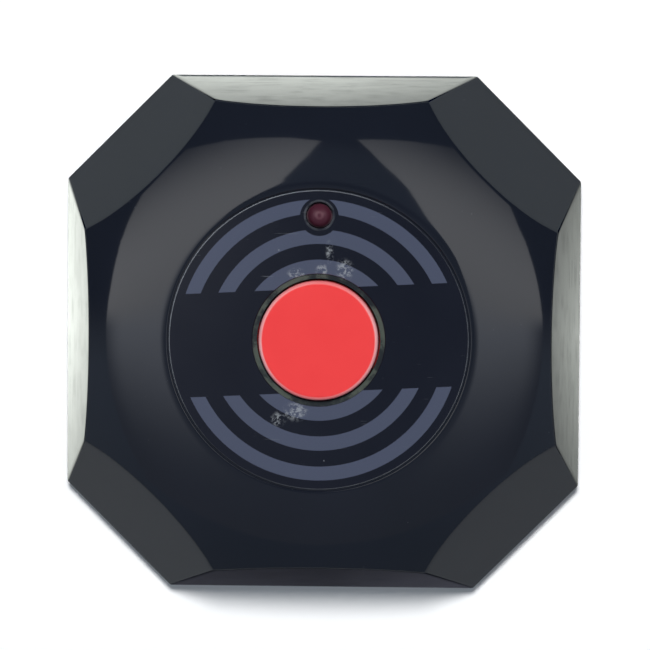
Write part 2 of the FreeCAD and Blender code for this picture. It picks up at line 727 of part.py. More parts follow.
def contact_slot(name, x, bottom):
    """Two pairs of small ribs that grip a contact plate."""
    ribs = []
    offset = cell["plate_sheet"] / 2 + cell["plate_gap"] + cell["slot_wall"] / 2
    from_middle = cell["plate_half"] - cell["slot_inset"]
    for number, (across, along) in enumerate(CORNERS, start=1):
        ribs.append(block(f"base_slot_{name}_{number}", cell["slot_wall"], cell["slot_width"],
                          cell["slot_rise"] - bottom, x + offset * across, cell_y + from_middle * along,
                          bottom))
    return ribs


def cross_slot(name, x, y, z):
    """Two crossing bars that cut the slot of a screw, from z up."""
    depth = cell["cross_depth"] + PAST
    bars = [block(f"{name}_a", cell["cross_length"], cell["cross_width"], depth, x, y, z),
            block(f"{name}_b", cell["cross_width"], cell["cross_length"], depth, x, y, z)]
    return fuse(name, bars)


def make_cover_screws():
    """Pan heads in the counterbores, shanks up into the bosses, each with a cross slot."""
    screws = []
    for number, (x, y) in enumerate(CORNERS, start=1):
        head_low = screw_seat - cell["screw_head_rise"]
        spot_x = boss_place * x
        spot_y = boss_place * y
        head = rod(f"screw_head_{number}", cell["screw_head"], cell["screw_head_rise"],
                   spot_x, spot_y, head_low)
        shank = rod(f"screw_shank_{number}", cell["screw_radius"],
                    cell["seat_top"] + cell["screw_reach"] - head_low, spot_x, spot_y, head_low)
        solid = fuse(f"screw_solid_{number}", [head, shank])
        slot = cross_slot(f"screw_cross_{number}", spot_x, spot_y, head_low - PAST)
        screws.append(cut(f"screw_{number}", solid, slot))
    return group("cover_screws", screws)


def make_face_label():
    """A printed plastic disc with a hole for the key and one for the lamp."""
    disc = rod("label_disc", cell["label_radius"], cell["label_sheet"], z=recess_floor)
    through = cell["label_sheet"] + 2 * PAST
    holes = [rod("label_key_hole", key_bore + cell["label_key_margin"], through, z=recess_floor - PAST),
             rod("label_lamp_hole", lamp_bore, through, y=cell["lamp_offset"], z=recess_floor - PAST)]
    return cut("face_label", disc, fuse("label_holes", holes))


# ---------------------------------------------------------------- key and lamp

def make_call_key():
    """A moulded cup with a rounded top edge, a flange below, a middle stem, cross ribs and two lugs."""
    body = new_body("call_key")
    profile = new_sketch(body, "key_profile", "XZ_Plane")
    outline(profile, [
        (0, plunger_top),
        (flange_radius, plunger_top),
        (flange_radius, flange_top),
        (cell["key_radius"], flange_top),
        (cell["key_radius"], key_top),
        (0, key_top),
    ])
    last = spun(body, "key_solid", profile)

    def upper_edge(edge):
        return is_level(edge, key_top)

    dress(body, "Fillet", "key_rounding", last, cell["key_round"], upper_edge)

    hollow = new_sketch(body, "key_hollow_outline", lift=plunger_top)
    ring(hollow, cell["key_radius"] - cell["key_wall"])
    ring(hollow, cell["key_stem"])
    deep = key_top - cell["key_roof"] - plunger_top
    feature(body, "Pocket", "key_hollow", hollow, deep, Reversed=True)

    rib_start = plunger_top + cell["flange_sheet"]
    across = cell["key_radius"] - cell["key_wall"] / 2
    half_rib = cell["key_rib"] / 2
    for name, reach_x, reach_y in (("key_rib_x", across, half_rib), ("key_rib_y", half_rib, across)):
        rib = new_sketch(body, f"{name}_outline", lift=rib_start)
        outline(rib, [(-reach_x, -reach_y), (reach_x, -reach_y), (reach_x, reach_y), (-reach_x, reach_y)])
        feature(body, "Pad", name, rib, key_top - cell["key_roof"] / 2 - rib_start)

    lug = new_sketch(body, "key_lug_outline", lift=plunger_top)
    near = cell["key_radius"]
    far = flange_radius + cell["lug_reach"]
    half = cell["lug_width"] / 2
    outline(lug, [(near, -half), (far, -half), (far, half), (near, half)])
    pad = feature(body, "Pad", "key_lug", lug, cell["flange_sheet"])
    round_pattern(body, "key_lugs", pad, 2)
    return body


def make_signal_led():
    """A round lamp: flange, straight lens and a dome on top."""
    dome_z = lamp_top - cell["lamp_radius"]
    parts = [
        rod("lamp_flange", cell["lamp_flange"], cell["lamp_flange_rise"],
            y=cell["lamp_offset"], z=lamp_foot),
        rod("lamp_barrel", cell["lamp_radius"], dome_z - lamp_foot, y=cell["lamp_offset"], z=lamp_foot),
        ball("lamp_dome", cell["lamp_radius"], y=cell["lamp_offset"], z=dome_z),
    ]
    return fuse("signal_led", parts)


def lead_low():
    return board_under - cell["lead_end"]


def make_led_leads():
    leads = [rod(f"lamp_lead_{side + 2}", cell["lead_radius"], lamp_foot - lead_low(),
                 cell["lamp_pitch"] / 2 * side, cell["lamp_offset"], lead_low()) for side in SIDES]
    return group("led_leads", leads)


def make_led_spacer():
    """The sleeve that holds the lamp up at the face of the case."""
    sleeve = rod("spacer_sleeve", cell["lamp_flange"], lamp_foot - board_top,
                 y=cell["lamp_offset"], z=board_top)
    bores = [rod(f"spacer_bore_{side + 2}", cell["lead_radius"] + cell["thread_gap"], lamp_foot,
                 cell["lamp_pitch"] / 2 * side, cell["lamp_offset"], board_under) for side in SIDES]
    return cut("led_spacer", sleeve, fuse("spacer_bores", bores))


# ---------------------------------------------------------------- board and push switch

def make_circuit_board():
    """Follows the tongue, notched round the screw seats and cut away over the battery."""
    body = new_body("board_blank")
    edge = new_sketch(body, "board_outline", lift=board_under)
    eight_sides(edge, tray_flats - cell["board_gap"], tray_corners - cell["board_gap"])
    feature(body, "Pad", "board_sheet_pad", edge, cell["board_sheet"])
    cuts = corner_rods("board_notch", cell["seat_radius"] + cell["notch_gap"], as_size(0), tongue_top + PAST)
    bay = half_flats + bay_edge
    cuts.append(block("board_bay", cell["across_flats"], bay, tongue_top, 0, bay_edge - bay / 2, 0))
    hole = cell["lead_radius"] + cell["thread_gap"]
    for side in SIDES:
        cuts.append(rod(f"board_screw_hole_{side + 2}", cell["board_screw"] + cell["pin_gap"],
                        board_top + PAST, cell["screw_post_x"] * side, cell["screw_post_y"]))
        cuts.append(rod(f"board_lamp_hole_{side + 2}", hole, board_top + PAST, cell["lamp_pitch"] / 2 * side,
                        cell["lamp_offset"]))
    for number, x in enumerate((cell["pin_left"], as_size(0)), start=1):
        cuts.append(rod(f"board_pin_hole_{number}", cell["pin_radius"] + cell["pin_gap"], board_top + PAST,
                        x, cell["pin_y"]))
    for number, (x, y) in enumerate(RESONATOR_WIRES + TRANSISTOR_WIRES + CAPACITOR_WIRES, start=1):
        cuts.append(rod(f"board_wire_hole_{number}", hole, board_top + PAST, x, y))
    for number, (x, y) in enumerate(antenna_feet(), start=1):
        cuts.append(rod(f"board_antenna_hole_{number}", cell["coil_wire"] + cell["thread_gap"],
                        board_top + PAST, x, y))
    return cut("circuit_board", body, fuse("board_cuts", cuts))


def make_board_screws():
    screws = []
    for side in SIDES:
        x = cell["screw_post_x"] * side
        y = cell["screw_post_y"]
        shank_low = cell["board_screw_floor"] + cell["board_screw_over"]
        head = rod(f"board_screw_head_{side + 2}", cell["board_head"], cell["board_head_rise"],
                   x, y, board_top)
        shank = rod(f"board_screw_shank_{side + 2}", cell["board_screw"],
                    board_top + cell["board_head_rise"] / 2 - shank_low, x, y, shank_low)
        solid = fuse(f"board_screw_solid_{side + 2}", [head, shank])
        slot = cross_slot(f"board_screw_cross_{side + 2}", x, y,
                          board_top + cell["board_head_rise"] - cell["cross_depth"])
        screws.append(cut(f"board_screw_{side + 2}", solid, slot))
    return group("board_screws", screws)


well_floor = board_top + cell["switch_sole"]
plate_under = board_top + cell["switch_body"] - cell["switch_plate"]


def make_switch_base():
    """The square plastic housing with the round well for dome and plunger."""
    width = cell["switch_width"] - cell["switch_plate"] * 2
    housing = block("switch_block", width, width, plate_under - board_top, z=board_top)
    well = rod("switch_well_bore", cell["switch_well"], cell["switch_body"], z=well_floor)
    return cut("switch_base", housing, well)


def make_switch_cover():
    """The folded metal cover: a plate with a round hole, and two sides turned down."""
    width = cell["switch_width"] - cell["switch_plate"] * 2
    plate = block("switch_top_plate", cell["switch_width"], width, cell["switch_plate"], z=plate_under)
    lift = cell["switch_side_lift"]
    drop = cell["switch_body"] - lift
    sides = [block(f"switch_side_{side + 2}", cell["switch_plate"], cell["switch_side"], drop,
                   (cell["switch_width"] - cell["switch_plate"]) / 2 * side, 0, board_top + lift)
             for side in SIDES]
    hole = rod("switch_plate_hole", cell["plunger_radius"] + cell["plunger_gap"],
               cell["switch_plate"] + 2 * PAST, z=plate_under - PAST)
    return cut("switch_cover", fuse("switch_sheet", [plate] + sides), hole)


def make_switch_plunger():
    """A round plunger with a wide foot that the metal cover keeps in."""
    foot_low = well_floor + cell["snap_rise"] + cell["snap_sheet"]
    foot_top = plate_under - cell["stop_gap"]
    foot = rod("plunger_foot_disc", cell["plunger_foot"], foot_top - foot_low, z=foot_low)
    neck = rod("plunger_neck", cell["plunger_radius"], plunger_top - foot_low, z=foot_low)
    return fuse("switch_plunger", [foot, neck])


def make_switch_dome():
    """The thin sprung metal dome under the plunger."""
    rim = cell["snap_radius"]
    rise = cell["snap_rise"]
    sphere = (rim * rim + rise * rise) / (rise * 2)
    centre = well_floor + rise - sphere
    outer = ball("snap_outer", sphere + cell["snap_sheet"], z=centre)
    inner = ball("snap_inner", sphere, z=centre)
    slab = rod("snap_slab", rim, rise * 2, z=well_floor)
    return overlap("switch_dome", [cut("snap_skin", outer, inner), slab])


def make_switch_terminals():
    """Four flat legs through the board at the sides of the switch."""
    legs = []
    for number, (x, y) in enumerate(CORNERS, start=1):
        place_x = (cell["switch_width"] / 2 + cell["leg_sheet"]) * x
        upright = block(f"leg_upright_{number}", cell["leg_sheet"], cell["leg_width"], cell["leg_rise"],
                        place_x, cell["leg_row"] / 2 * y, board_top)
        foot = block(f"leg_foot_{number}", cell["leg_foot"], cell["leg_width"], cell["leg_sheet"],
                     place_x - (cell["leg_foot"] - cell["leg_sheet"]) / 2 * x, cell["leg_row"] / 2 * y,
                     board_top + cell["leg_rise"])
        legs.append(fuse(f"leg_{number}", [upright, foot]))
    return group("switch_terminals", legs)


# ---------------------------------------------------------------- battery and contacts

def make_battery_can():
    can = rod("battery_blank", cell["cell_radius"], cell["cell_length"] - cell["pole_rise"],
              -cell_end, cell_y, cell_z, ALONG_X)

    def end_circle(edge):
        return edge.Curve.TypeId == "Part::GeomCircle"

    return rounded("battery_can", can, cell["cell_round"], end_circle)


def make_battery_pole():
    return rod("battery_pole", cell["pole_radius"], cell["pole_rise"], cell_end - cell["pole_rise"],
               cell_y, cell_z, ALONG_X)


def contact_plate(name, side):
    """An upright plate, with a tab bent over to be soldered on the board."""
    x = plate_place(side)
    plate = block(f"{name}_plate", cell["plate_sheet"], cell["plate_half"] * 2,
                  cell["plate_top"] - cell["base_floor"], x, cell_y, cell["base_floor"])
    inner = cell_y + cell["plate_half"] - cell["plate_sheet"]
    outer = bay_edge + cell["tab_reach"]
    arm = block(f"{name}_arm", cell["plate_sheet"], outer - inner, cell["tab_width"], x, (inner + outer) / 2,
                board_top)
    tab = block(f"{name}_tab", cell["tab_length"], cell["tab_width"], cell["plate_sheet"], x,
                outer - cell["tab_width"] / 2, board_top)
    return fuse(name, [plate, arm, tab])


SPRING_HALF_TURNS = 5


def make_contact_spring():
    """A conical coil between the spring plate and the flat end of the battery."""
    room = cell["spring_room"] - cell["spring_wire"] * 2
    spring = winding("contact_spring", cell["spring_coil"], cell["spring_end"], room / SPRING_HALF_TURNS * 2,
                     SPRING_HALF_TURNS, cell["spring_wire"])
    start = plate_place(-1) + cell["plate_sheet"] / 2 + cell["spring_wire"]
    return place(spring, start, cell_y, cell_z, ALONG_X)


# ---------------------------------------------------------------- parts on the board

SMD_LENGTH = 2.0
SMD_WIDTH = 1.25


def smd_row(name, spots, height):
    """Small chips of one height, lying on the board."""
    chips = [block(f"{name}_{number}", SMD_LENGTH, SMD_WIDTH, height, x, y, board_top)
             for number, (x, y) in enumerate(spots, start=1)]
    return group(name, chips)


CHIP_SPOT = (-13.0, 4.0)
CHIP_LENGTH = 4.9
CHIP_WIDTH = 3.9
CHIP_STANDOFF = 0.15
CHIP_RISE = 1.45
CHIP_PITCH = 1.27
CHIP_LEGS_A_SIDE = 4
CHIP_DIMPLE = 0.4
CHIP_DIMPLE_INSET = 0.9
CHIP_DIMPLE_DEPTH = 0.1
LEG_WIDTH = 0.4
LEG_SHEET = 0.2
LEG_SHOULDER = 0.5
LEG_RISE = 0.95
LEG_FOOT = 0.7


def make_encoder_chip():
    x, y = CHIP_SPOT
    blank = block("chip_blank", CHIP_LENGTH, CHIP_WIDTH, CHIP_RISE, x, y, board_top + CHIP_STANDOFF)
    dimple_low = board_top + CHIP_STANDOFF + CHIP_RISE - CHIP_DIMPLE_DEPTH
    dimple = rod("chip_dimple", CHIP_DIMPLE, PAST, x - CHIP_LENGTH / 2 + CHIP_DIMPLE_INSET,
                 y - CHIP_WIDTH / 2 + CHIP_DIMPLE_INSET, dimple_low)
    return cut("encoder_chip", blank, dimple)


def make_chip_legs():
    """Gull-wing legs along both long sides."""
    x, y = CHIP_SPOT
    legs = []
    for side in SIDES:
        for number in range(CHIP_LEGS_A_SIDE):
            leg_x = x + (number - (CHIP_LEGS_A_SIDE - 1) / 2) * CHIP_PITCH
            edge = y + CHIP_WIDTH / 2 * side
            name = f"chip_leg_{side + 2}_{number}"
            bend = edge + (LEG_SHOULDER - LEG_SHEET) * side
            shelf = block(f"{name}_shelf", LEG_WIDTH, LEG_SHOULDER, LEG_SHEET,
                          leg_x, edge + LEG_SHOULDER / 2 * side, board_top + LEG_RISE - LEG_SHEET)
            drop = block(f"{name}_drop", LEG_WIDTH, LEG_SHEET, LEG_RISE,
                         leg_x, bend + LEG_SHEET / 2 * side, board_top)
            foot = block(f"{name}_foot", LEG_WIDTH, LEG_FOOT, LEG_SHEET,
                         leg_x, bend + LEG_FOOT / 2 * side, board_top)
            legs.append(fuse(name, [shelf, drop, foot]))
    return group("chip_legs", legs)


RESONATOR_SPOT = (14.5, 8.0)
RESONATOR_RADIUS = 4.1
RESONATOR_RISE = 3.2
RESONATOR_RIM = 0.5
RESONATOR_PITCH = 2.5


def make_resonator_can():
    """A round metal can on a wide rim."""
    x, y = RESONATOR_SPOT
    can = rod("resonator_cap", RESONATOR_RADIUS, RESONATOR_RISE, x, y, board_top)

    def top_edge(edge):
        return is_level(edge, board_top + RESONATOR_RISE)

    soft = rounded("resonator_soft_cap", can, RESONATOR_RIM, top_edge)
    rim = rod("resonator_rim", RESONATOR_RADIUS + RESONATOR_RIM, RESONATOR_RIM, x, y, board_top)
    return fuse("resonator_can", [soft, rim])


def wires(name, spots, length_above=0.0):
    """Short wires from a part's underside to below the board."""
    length = board_top + length_above - lead_low()
    leads = [rod(f"{name}_{number}", cell["lead_radius"], length, x, y, lead_low())
             for number, (x, y) in enumerate(spots, start=1)]
    return group(name, leads)


def wire_spots(spot, pitch, steps):
    """Places of wires, given as steps of one pitch from the middle of a part."""
    return [(spot[0] + pitch * across, spot[1] + pitch * along) for across, along in steps]


RESONATOR_WIRES = wire_spots(RESONATOR_SPOT, RESONATOR_PITCH, ((-1, 0), (1, 0), (0, -1)))
TRANSISTOR_SPOT = (7.6, 14.0)
TRANSISTOR_LIFT = 1.5
TRANSISTOR_RADIUS = 2.3
TRANSISTOR_RISE = 4.6
TRANSISTOR_FLAT = 1.3
TRANSISTOR_PITCH = 1.27
TRANSISTOR_WIRES = wire_spots(TRANSISTOR_SPOT, TRANSISTOR_PITCH, ((-1, 0), (0, 0), (1, 0)))


def make_transistor():
    """A round body with one flat, raised on its three wires."""
    x, y = TRANSISTOR_SPOT
    width = TRANSISTOR_RADIUS * 2
    barrel = rod("transistor_barrel", TRANSISTOR_RADIUS, TRANSISTOR_RISE, x, y, board_top + TRANSISTOR_LIFT)
    flat = block("transistor_flat", width, width, TRANSISTOR_RISE,
                 x, y + TRANSISTOR_RADIUS - TRANSISTOR_FLAT, board_top + TRANSISTOR_LIFT)
    return overlap("transistor", [barrel, flat])


CAPACITOR_SPOT = (-17.0, 13.0)
CAPACITOR_RADIUS = 2.5
CAPACITOR_RISE = 7.0
CAPACITOR_CRIMP = 0.3
CAPACITOR_CRIMP_LOW = 1.0
CAPACITOR_WIRES = wire_spots(CAPACITOR_SPOT, 1.0, ((-1, 0), (1, 0)))


def make_reservoir_capacitor():
    """A small can with a crimp near its foot."""
    x, y = CAPACITOR_SPOT
    radius = CAPACITOR_RADIUS
    waist = radius - CAPACITOR_CRIMP
    low = CAPACITOR_CRIMP_LOW
    body = new_body("reservoir_capacitor")
    profile = new_sketch(body, "capacitor_profile", "XZ_Plane")
    outline(profile, [
        (0, 0),
        (radius, 0),
        (radius, low),
        (waist, low + CAPACITOR_CRIMP),
        (radius, low + 2 * CAPACITOR_CRIMP),
        (radius, CAPACITOR_RISE - CAPACITOR_CRIMP),
        (waist, CAPACITOR_RISE),
        (0, CAPACITOR_RISE),
    ])
    spun(body, "capacitor_spin", profile)
    return place(body, x, y, board_top)


ANTENNA_TURNS = 6


def antenna_feet():
    """Where the two ends of the antenna coil go into the board."""
    return [(cell["coil_x"], cell["coil_y"]),
            (cell["coil_x"] + cell["coil_pitch"] * ANTENNA_TURNS, cell["coil_y"])]


def make_antenna_coil():
    """An air coil lying along X, with its two ends bent down into the board."""
    coil = winding("antenna_winding", cell["coil_radius"], cell["coil_radius"], cell["coil_pitch"],
                   ANTENNA_TURNS * 2, cell["coil_wire"])
    axis_z = board_top + cell["coil_radius"] + cell["coil_wire"] * 2
    place(coil, cell["coil_x"], cell["coil_y"], axis_z, ALONG_X)
    legs = []
    for number, (x, y) in enumerate(antenna_feet(), start=1):
        bottom = axis_z - cell["coil_radius"]
        legs.append(rod(f"antenna_leg_{number}", cell["coil_wire"], bottom - lead_low(), x, y, lead_low()))
        legs.append(ball(f"antenna_bend_{number}", cell["coil_wire"], x, y, bottom))
    return fuse("antenna_coil", [coil] + legs)


def make_parts():
    return [
        make_top_cover(),
        make_base_cover(),
        make_cover_screws(),
        make_face_label(),
        make_call_key(),
        make_signal_led(),
        make_led_leads(),
        make_led_spacer(),
        make_circuit_board(),
        make_board_screws(),
        make_switch_base(),
        make_switch_cover(),
        make_switch_plunger(),
        make_switch_dome(),
        make_switch_terminals(),
        make_battery_can(),
        make_battery_pole(),
        contact_plate("contact_negative", -1),
        contact_plate("contact_positive", 1),
        make_contact_spring(),
        make_encoder_chip(),
        make_chip_legs(),
        make_resonator_can(),
        wires("resonator_leads", RESONATOR_WIRES),
        make_transistor(),
        wires("transistor_legs", TRANSISTOR_WIRES, TRANSISTOR_LIFT),
        make_reservoir_capacitor(),
        wires("capacitor_leads", CAPACITOR_WIRES),
        make_antenna_coil(),
        smd_row("ceramic_capacitors", [(-8.6, 9.5), (-8.6, 12.0), (9.8, 3.5)], 0.9),
        smd_row("resistors", [(-13.5, -2.5), (-10.3, -2.5), (10.3, -3.5), (13.5, -3.5)], 0.5),
    ]


parts = make_parts()
doc.recompute()

for thing in doc.Objects:
    if "Invalid" in thing.State or "Error" in thing.State:
        raise RuntimeError(f"{thing.Name} is {thing.State}")
for thing in parts:
    if thing.Shape.isNull() or not thing.Shape.isValid():
        raise RuntimeError(f"{thing.Name} has no valid shape")

os.makedirs("parts", exist_ok=True)
for thing in parts:
    thing.Label = thing.Name
    thing.Shape.exportStep(os.path.join("parts", f"{thing.Label}.step"))
    print(f"{thing.Label}: {len(thing.Shape.Solids)} solids, {thing.Shape.Volume:.1f} cubic mm")
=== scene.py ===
# %% [markdown]
# # A one-key call button
#
# This lesson finishes a small table-top call button in Blender: a glossy blue-black case with
# eight facets, a printed round label, a red key and a red signal lamp. The moulded and pressed
# parts come from a packed construction model and are never moved. Here they get their surfaces,
# and the pieces whose charm is in fine detail are modelled anew. All lengths are written in
# millimetres and turned into metres by `MM`.

# %% Load the construction model
import math

import bmesh
import bpy
from mathutils import Matrix, Vector


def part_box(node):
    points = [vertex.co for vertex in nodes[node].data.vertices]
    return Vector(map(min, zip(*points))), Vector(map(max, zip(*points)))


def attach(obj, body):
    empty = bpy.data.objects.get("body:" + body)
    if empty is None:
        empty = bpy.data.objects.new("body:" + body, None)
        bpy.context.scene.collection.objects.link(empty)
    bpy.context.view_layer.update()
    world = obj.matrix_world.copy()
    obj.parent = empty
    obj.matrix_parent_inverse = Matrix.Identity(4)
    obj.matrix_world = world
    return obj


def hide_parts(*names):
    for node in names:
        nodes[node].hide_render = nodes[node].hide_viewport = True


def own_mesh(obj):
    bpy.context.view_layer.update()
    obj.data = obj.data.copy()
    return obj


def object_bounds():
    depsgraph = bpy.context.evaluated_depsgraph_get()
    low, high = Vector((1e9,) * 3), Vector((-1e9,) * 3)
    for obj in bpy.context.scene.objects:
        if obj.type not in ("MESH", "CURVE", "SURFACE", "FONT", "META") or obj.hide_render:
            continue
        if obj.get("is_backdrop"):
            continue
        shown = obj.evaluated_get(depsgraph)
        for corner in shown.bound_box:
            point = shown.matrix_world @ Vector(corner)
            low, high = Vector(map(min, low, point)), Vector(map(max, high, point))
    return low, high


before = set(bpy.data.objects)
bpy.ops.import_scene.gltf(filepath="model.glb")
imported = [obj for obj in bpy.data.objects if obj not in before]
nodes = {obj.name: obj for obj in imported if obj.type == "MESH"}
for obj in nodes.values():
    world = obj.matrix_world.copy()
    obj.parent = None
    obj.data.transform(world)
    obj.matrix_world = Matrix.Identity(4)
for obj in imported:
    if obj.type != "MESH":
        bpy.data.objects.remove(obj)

MM = 0.001
FULL_TURN = 2 * math.pi
box_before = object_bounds()
print(len(nodes), "construction nodes, box in mm:", [round(edge / MM, 2) for edge in box_before[1]])

# %% [markdown]
# ## Sizes read from the frame
#
# A piece that is modelled here has to sit where the construction says. So the script asks the
# frame for the boxes of the nodes, and the places follow if the construction changes. Sizes that
# no box tells, such as the bore round the key, are written down as the construction has them.

# %% A node's box in millimetres
def low_high(node):
    """The two far corners of a node's box."""
    low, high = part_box(node)
    return low / MM, high / MM


case_high = low_high("base_cover")[1]
label_low, label_high = low_high("face_label")
key_high = low_high("call_key")[1]
lamp_low, lamp_high = low_high("signal_led")
board_low, board_high = low_high("circuit_board")
HALF_CASE = case_high.x
LABEL_RADIUS = label_high.x
KEY_RADIUS, KEY_BORE = 6.8, 7.0
lamp_y = (lamp_low.y + lamp_high.y) / 2
print(f"case {2 * HALF_CASE:.1f} across, label radius {LABEL_RADIUS:.2f}, lamp at y {lamp_y:.2f}")

# %% [markdown]
# ## The camera
#
# The button is seen from almost straight above, with a long lens from less than half a metre.
# The camera leans a few degrees towards the lamp's side and to the right, which shows a little
# more of two of the facets. Three small turns say this exactly.

# %% Place the camera
CAMERA_DISTANCE = 454.5
CAMERA_LENS = 213.7
SENSOR_WIDTH = 36.0
ROLL, NOD, SWAY = -0.0065, 0.065, -0.036
AIM = (0.14, 0.683)

camera_turn = Matrix.Rotation(ROLL, 3, "Z") @ Matrix.Rotation(NOD, 3, "X") @ Matrix.Rotation(SWAY, 3, "Y")
camera_data = bpy.data.cameras.new("camera")
camera_data.lens = CAMERA_LENS
camera_data.sensor_width = SENSOR_WIDTH
camera_data.clip_start = 0.01
camera_data.clip_end = 20.0
camera = bpy.data.objects.new("camera", camera_data)
bpy.context.scene.collection.objects.link(camera)
to_world = camera_turn.transposed()
spot = to_world @ Vector((AIM[0], AIM[1], CAMERA_DISTANCE)) * MM
camera.matrix_world = Matrix.Translation(spot) @ to_world.to_4x4()
bpy.context.scene.camera = camera
bpy.context.scene.view_settings.view_transform = "Standard"
print("camera at", [round(value, 3) for value in spot])

# %% [markdown]
# ## Shader sums as plain Python
#
# A procedural material is mostly sums on sockets. Wiring Math nodes by hand hides the idea, so a
# small class wraps a socket and overloads the operators: `1 - mask * 0.5` adds the nodes for it.
# Every other node comes from one method, `Shader.add`, which takes its type, its settings and
# what goes into its sockets.

# %% A socket that does sums
class Wire:
    """One output socket of a shader, on which sums can be written."""

    def __init__(self, shader, socket):
        self.shader = shader
        self.socket = socket

    def sum(self, operation, *others):
        """A Math node: this output first, then the other values."""
        values = dict(enumerate((self,) + others))
        return self.shader.add("ShaderNodeMath", {"operation": operation}, values)[0]

    def __add__(self, other):
        return self.sum("ADD", other)

    def __radd__(self, other):
        return self.sum("ADD", other)

    def __sub__(self, other):
        return self.sum("SUBTRACT", other)

    def __rsub__(self, other):
        return self.shader.value(other, "SUBTRACT", self)

    def __mul__(self, other):
        return self.sum("MULTIPLY", other)

    def __rmul__(self, other):
        return self.sum("MULTIPLY", other)

    def __truediv__(self, other):
        return self.sum("DIVIDE", other)

    def __rtruediv__(self, other):
        return self.shader.value(other, "DIVIDE", self)

    def __pow__(self, other):
        return self.sum("POWER", other)

    def __abs__(self):
        return self.sum("ABSOLUTE")

    def repeat(self):
        """The part after the decimal point, which makes a pattern come again and again."""
        return self.sum("FRACT")

    def above(self, edge, soft=0.02):
        """0 below the edge, 1 above it, with a smooth step as wide as soft."""
        return self.shader.add("ShaderNodeMapRange", {"interpolation_type": "SMOOTHSTEP", "clamp": True},
                               {"Value": self, "From Min": edge - soft / 2, "From Max": edge + soft / 2})[0]

    def below(self, edge, soft=0.02):
        return 1 - self.above(edge, soft)

    def within(self, low, high, soft=0.02):
        return self.above(low, soft) * self.below(high, soft)


class Outputs:
    """The outputs of one node, by name or number."""

    def __init__(self, shader, node):
        self.shader = shader
        self.node = node

    def __getitem__(self, name):
        return Wire(self.shader, self.node.outputs[name])

# %% A shader under construction
class Shader:
    """A node tree that is built by adding nodes and writing sums."""

    def __init__(self, tree):
        self.tree = tree
        tree.nodes.clear()

    def add(self, kind, settings=None, values=None):
        """Any node: its settings first, then the value or the link of each socket."""
        node = self.tree.nodes.new(kind)
        for name, setting in (settings or {}).items():
            setattr(node, name, setting)
        for name, value in (values or {}).items():
            if isinstance(value, Wire):
                self.tree.links.new(value.socket, node.inputs[name])
            else:
                node.inputs[name].default_value = value
        return Outputs(self, node)

    def value(self, number, operation, wire):
        """A sum that begins with a plain number."""
        return self.add("ShaderNodeMath", {"operation": operation}, {0: number, 1: wire})[0]

    def blend(self, factor, first, second):
        """A colour between two colours."""
        return self.add("ShaderNodeMix", {"data_type": "RGBA"}, {0: factor, 6: first, 7: second})[2]

    def place(self):
        """Where a point lies on the button, in millimetres."""
        spot = self.add("ShaderNodeTexCoord")["Object"]
        return self.add("ShaderNodeVectorMath", {"operation": "SCALE"}, {0: spot, "Scale": 1 / MM})[0]

    def axes(self, spot):
        """The three coordinates of a place, one wire for each."""
        parts = self.add("ShaderNodeSeparateXYZ", None, {0: spot})
        return parts[0], parts[1], parts[2]

    def moved(self, spot, turn=(0, 0, 0), scale=(1, 1, 1)):
        """The same place in coordinates that are turned and stretched."""
        return self.add("ShaderNodeMapping", {"vector_type": "POINT"},
                        {"Vector": spot, "Rotation": turn, "Scale": scale})[0]

    def noise(self, spot, scale, detail=3.0, roughness=0.5):
        return self.add("ShaderNodeTexNoise", {"noise_dimensions": "3D"},
                        {"Vector": spot, "Scale": scale, "Detail": detail, "Roughness": roughness})[0]

    def waves(self, spot, scale, direction="X"):
        return self.add("ShaderNodeTexWave", {"wave_type": "BANDS", "bands_direction": direction},
                        {"Vector": spot, "Scale": scale})[1]

    def reach(self, x, y):
        """How far a point lies from the origin of two of its coordinates."""
        return (x * x + y * y) ** 0.5

    def specks(self, spot, scale, size):
        """Small round dots, one in each cell of a scattered grid."""
        cells = self.add("ShaderNodeTexVoronoi", {"feature": "F1"}, {"Vector": spot, "Scale": scale})
        return cells[0].below(size, size / 2)

    def bump(self, height, strength, distance=0.1):
        return self.add("ShaderNodeBump", None,
                        {"Height": height, "Strength": strength, "Distance": distance * MM})[0]

# %% Colours and finishes
def srgb(red, green, blue):
    """A colour given as it shows on a screen, 0 to 255, as the linear colour that shaders take."""
    def linear(level):
        share = level / 255
        return share / 12.92 if share <= 0.04045 else ((share + 0.055) / 1.055) ** 2.4
    return (linear(red), linear(green), linear(blue), 1.0)


def finish(name, body):
    """A material made by a function that returns the sockets of the main shader."""
    material = bpy.data.materials.new(name)
    material.use_nodes = True
    shader = Shader(material.node_tree)
    surface = shader.add("ShaderNodeBsdfPrincipled", None, body(shader))["BSDF"]
    shader.add("ShaderNodeOutputMaterial", None, {"Surface": surface})
    print("finish", name, "with", len(material.node_tree.nodes), "nodes")
    return material


def wear(node, material):
    """Give a construction node its material, without touching its mesh."""
    for slot in nodes[node].material_slots:
        slot.material = material

# %% [markdown]
# ## The case: polished blue-black plastic
#
# Black plastic is almost all reflection. Its own colour is a very dark blue, and what makes it
# real is the gloss: slightly uneven roughness from handling, a faint ripple left by the polished
# mould, and a few specks of dust. On the narrow ledge between the key and the label nobody wipes,
# so grey-green dust has settled there. An image texture could carry all this, but it would need the
# case unwrapped and would blur close up. Noise on Object coordinates fits any shape, and stays sharp.
# The tray below is the same plastic from a blasted mould, so it is satin.

# %% Case finishes
LEDGE_OUTER = 7.7
LEDGE_Z = label_low.z - 0.2


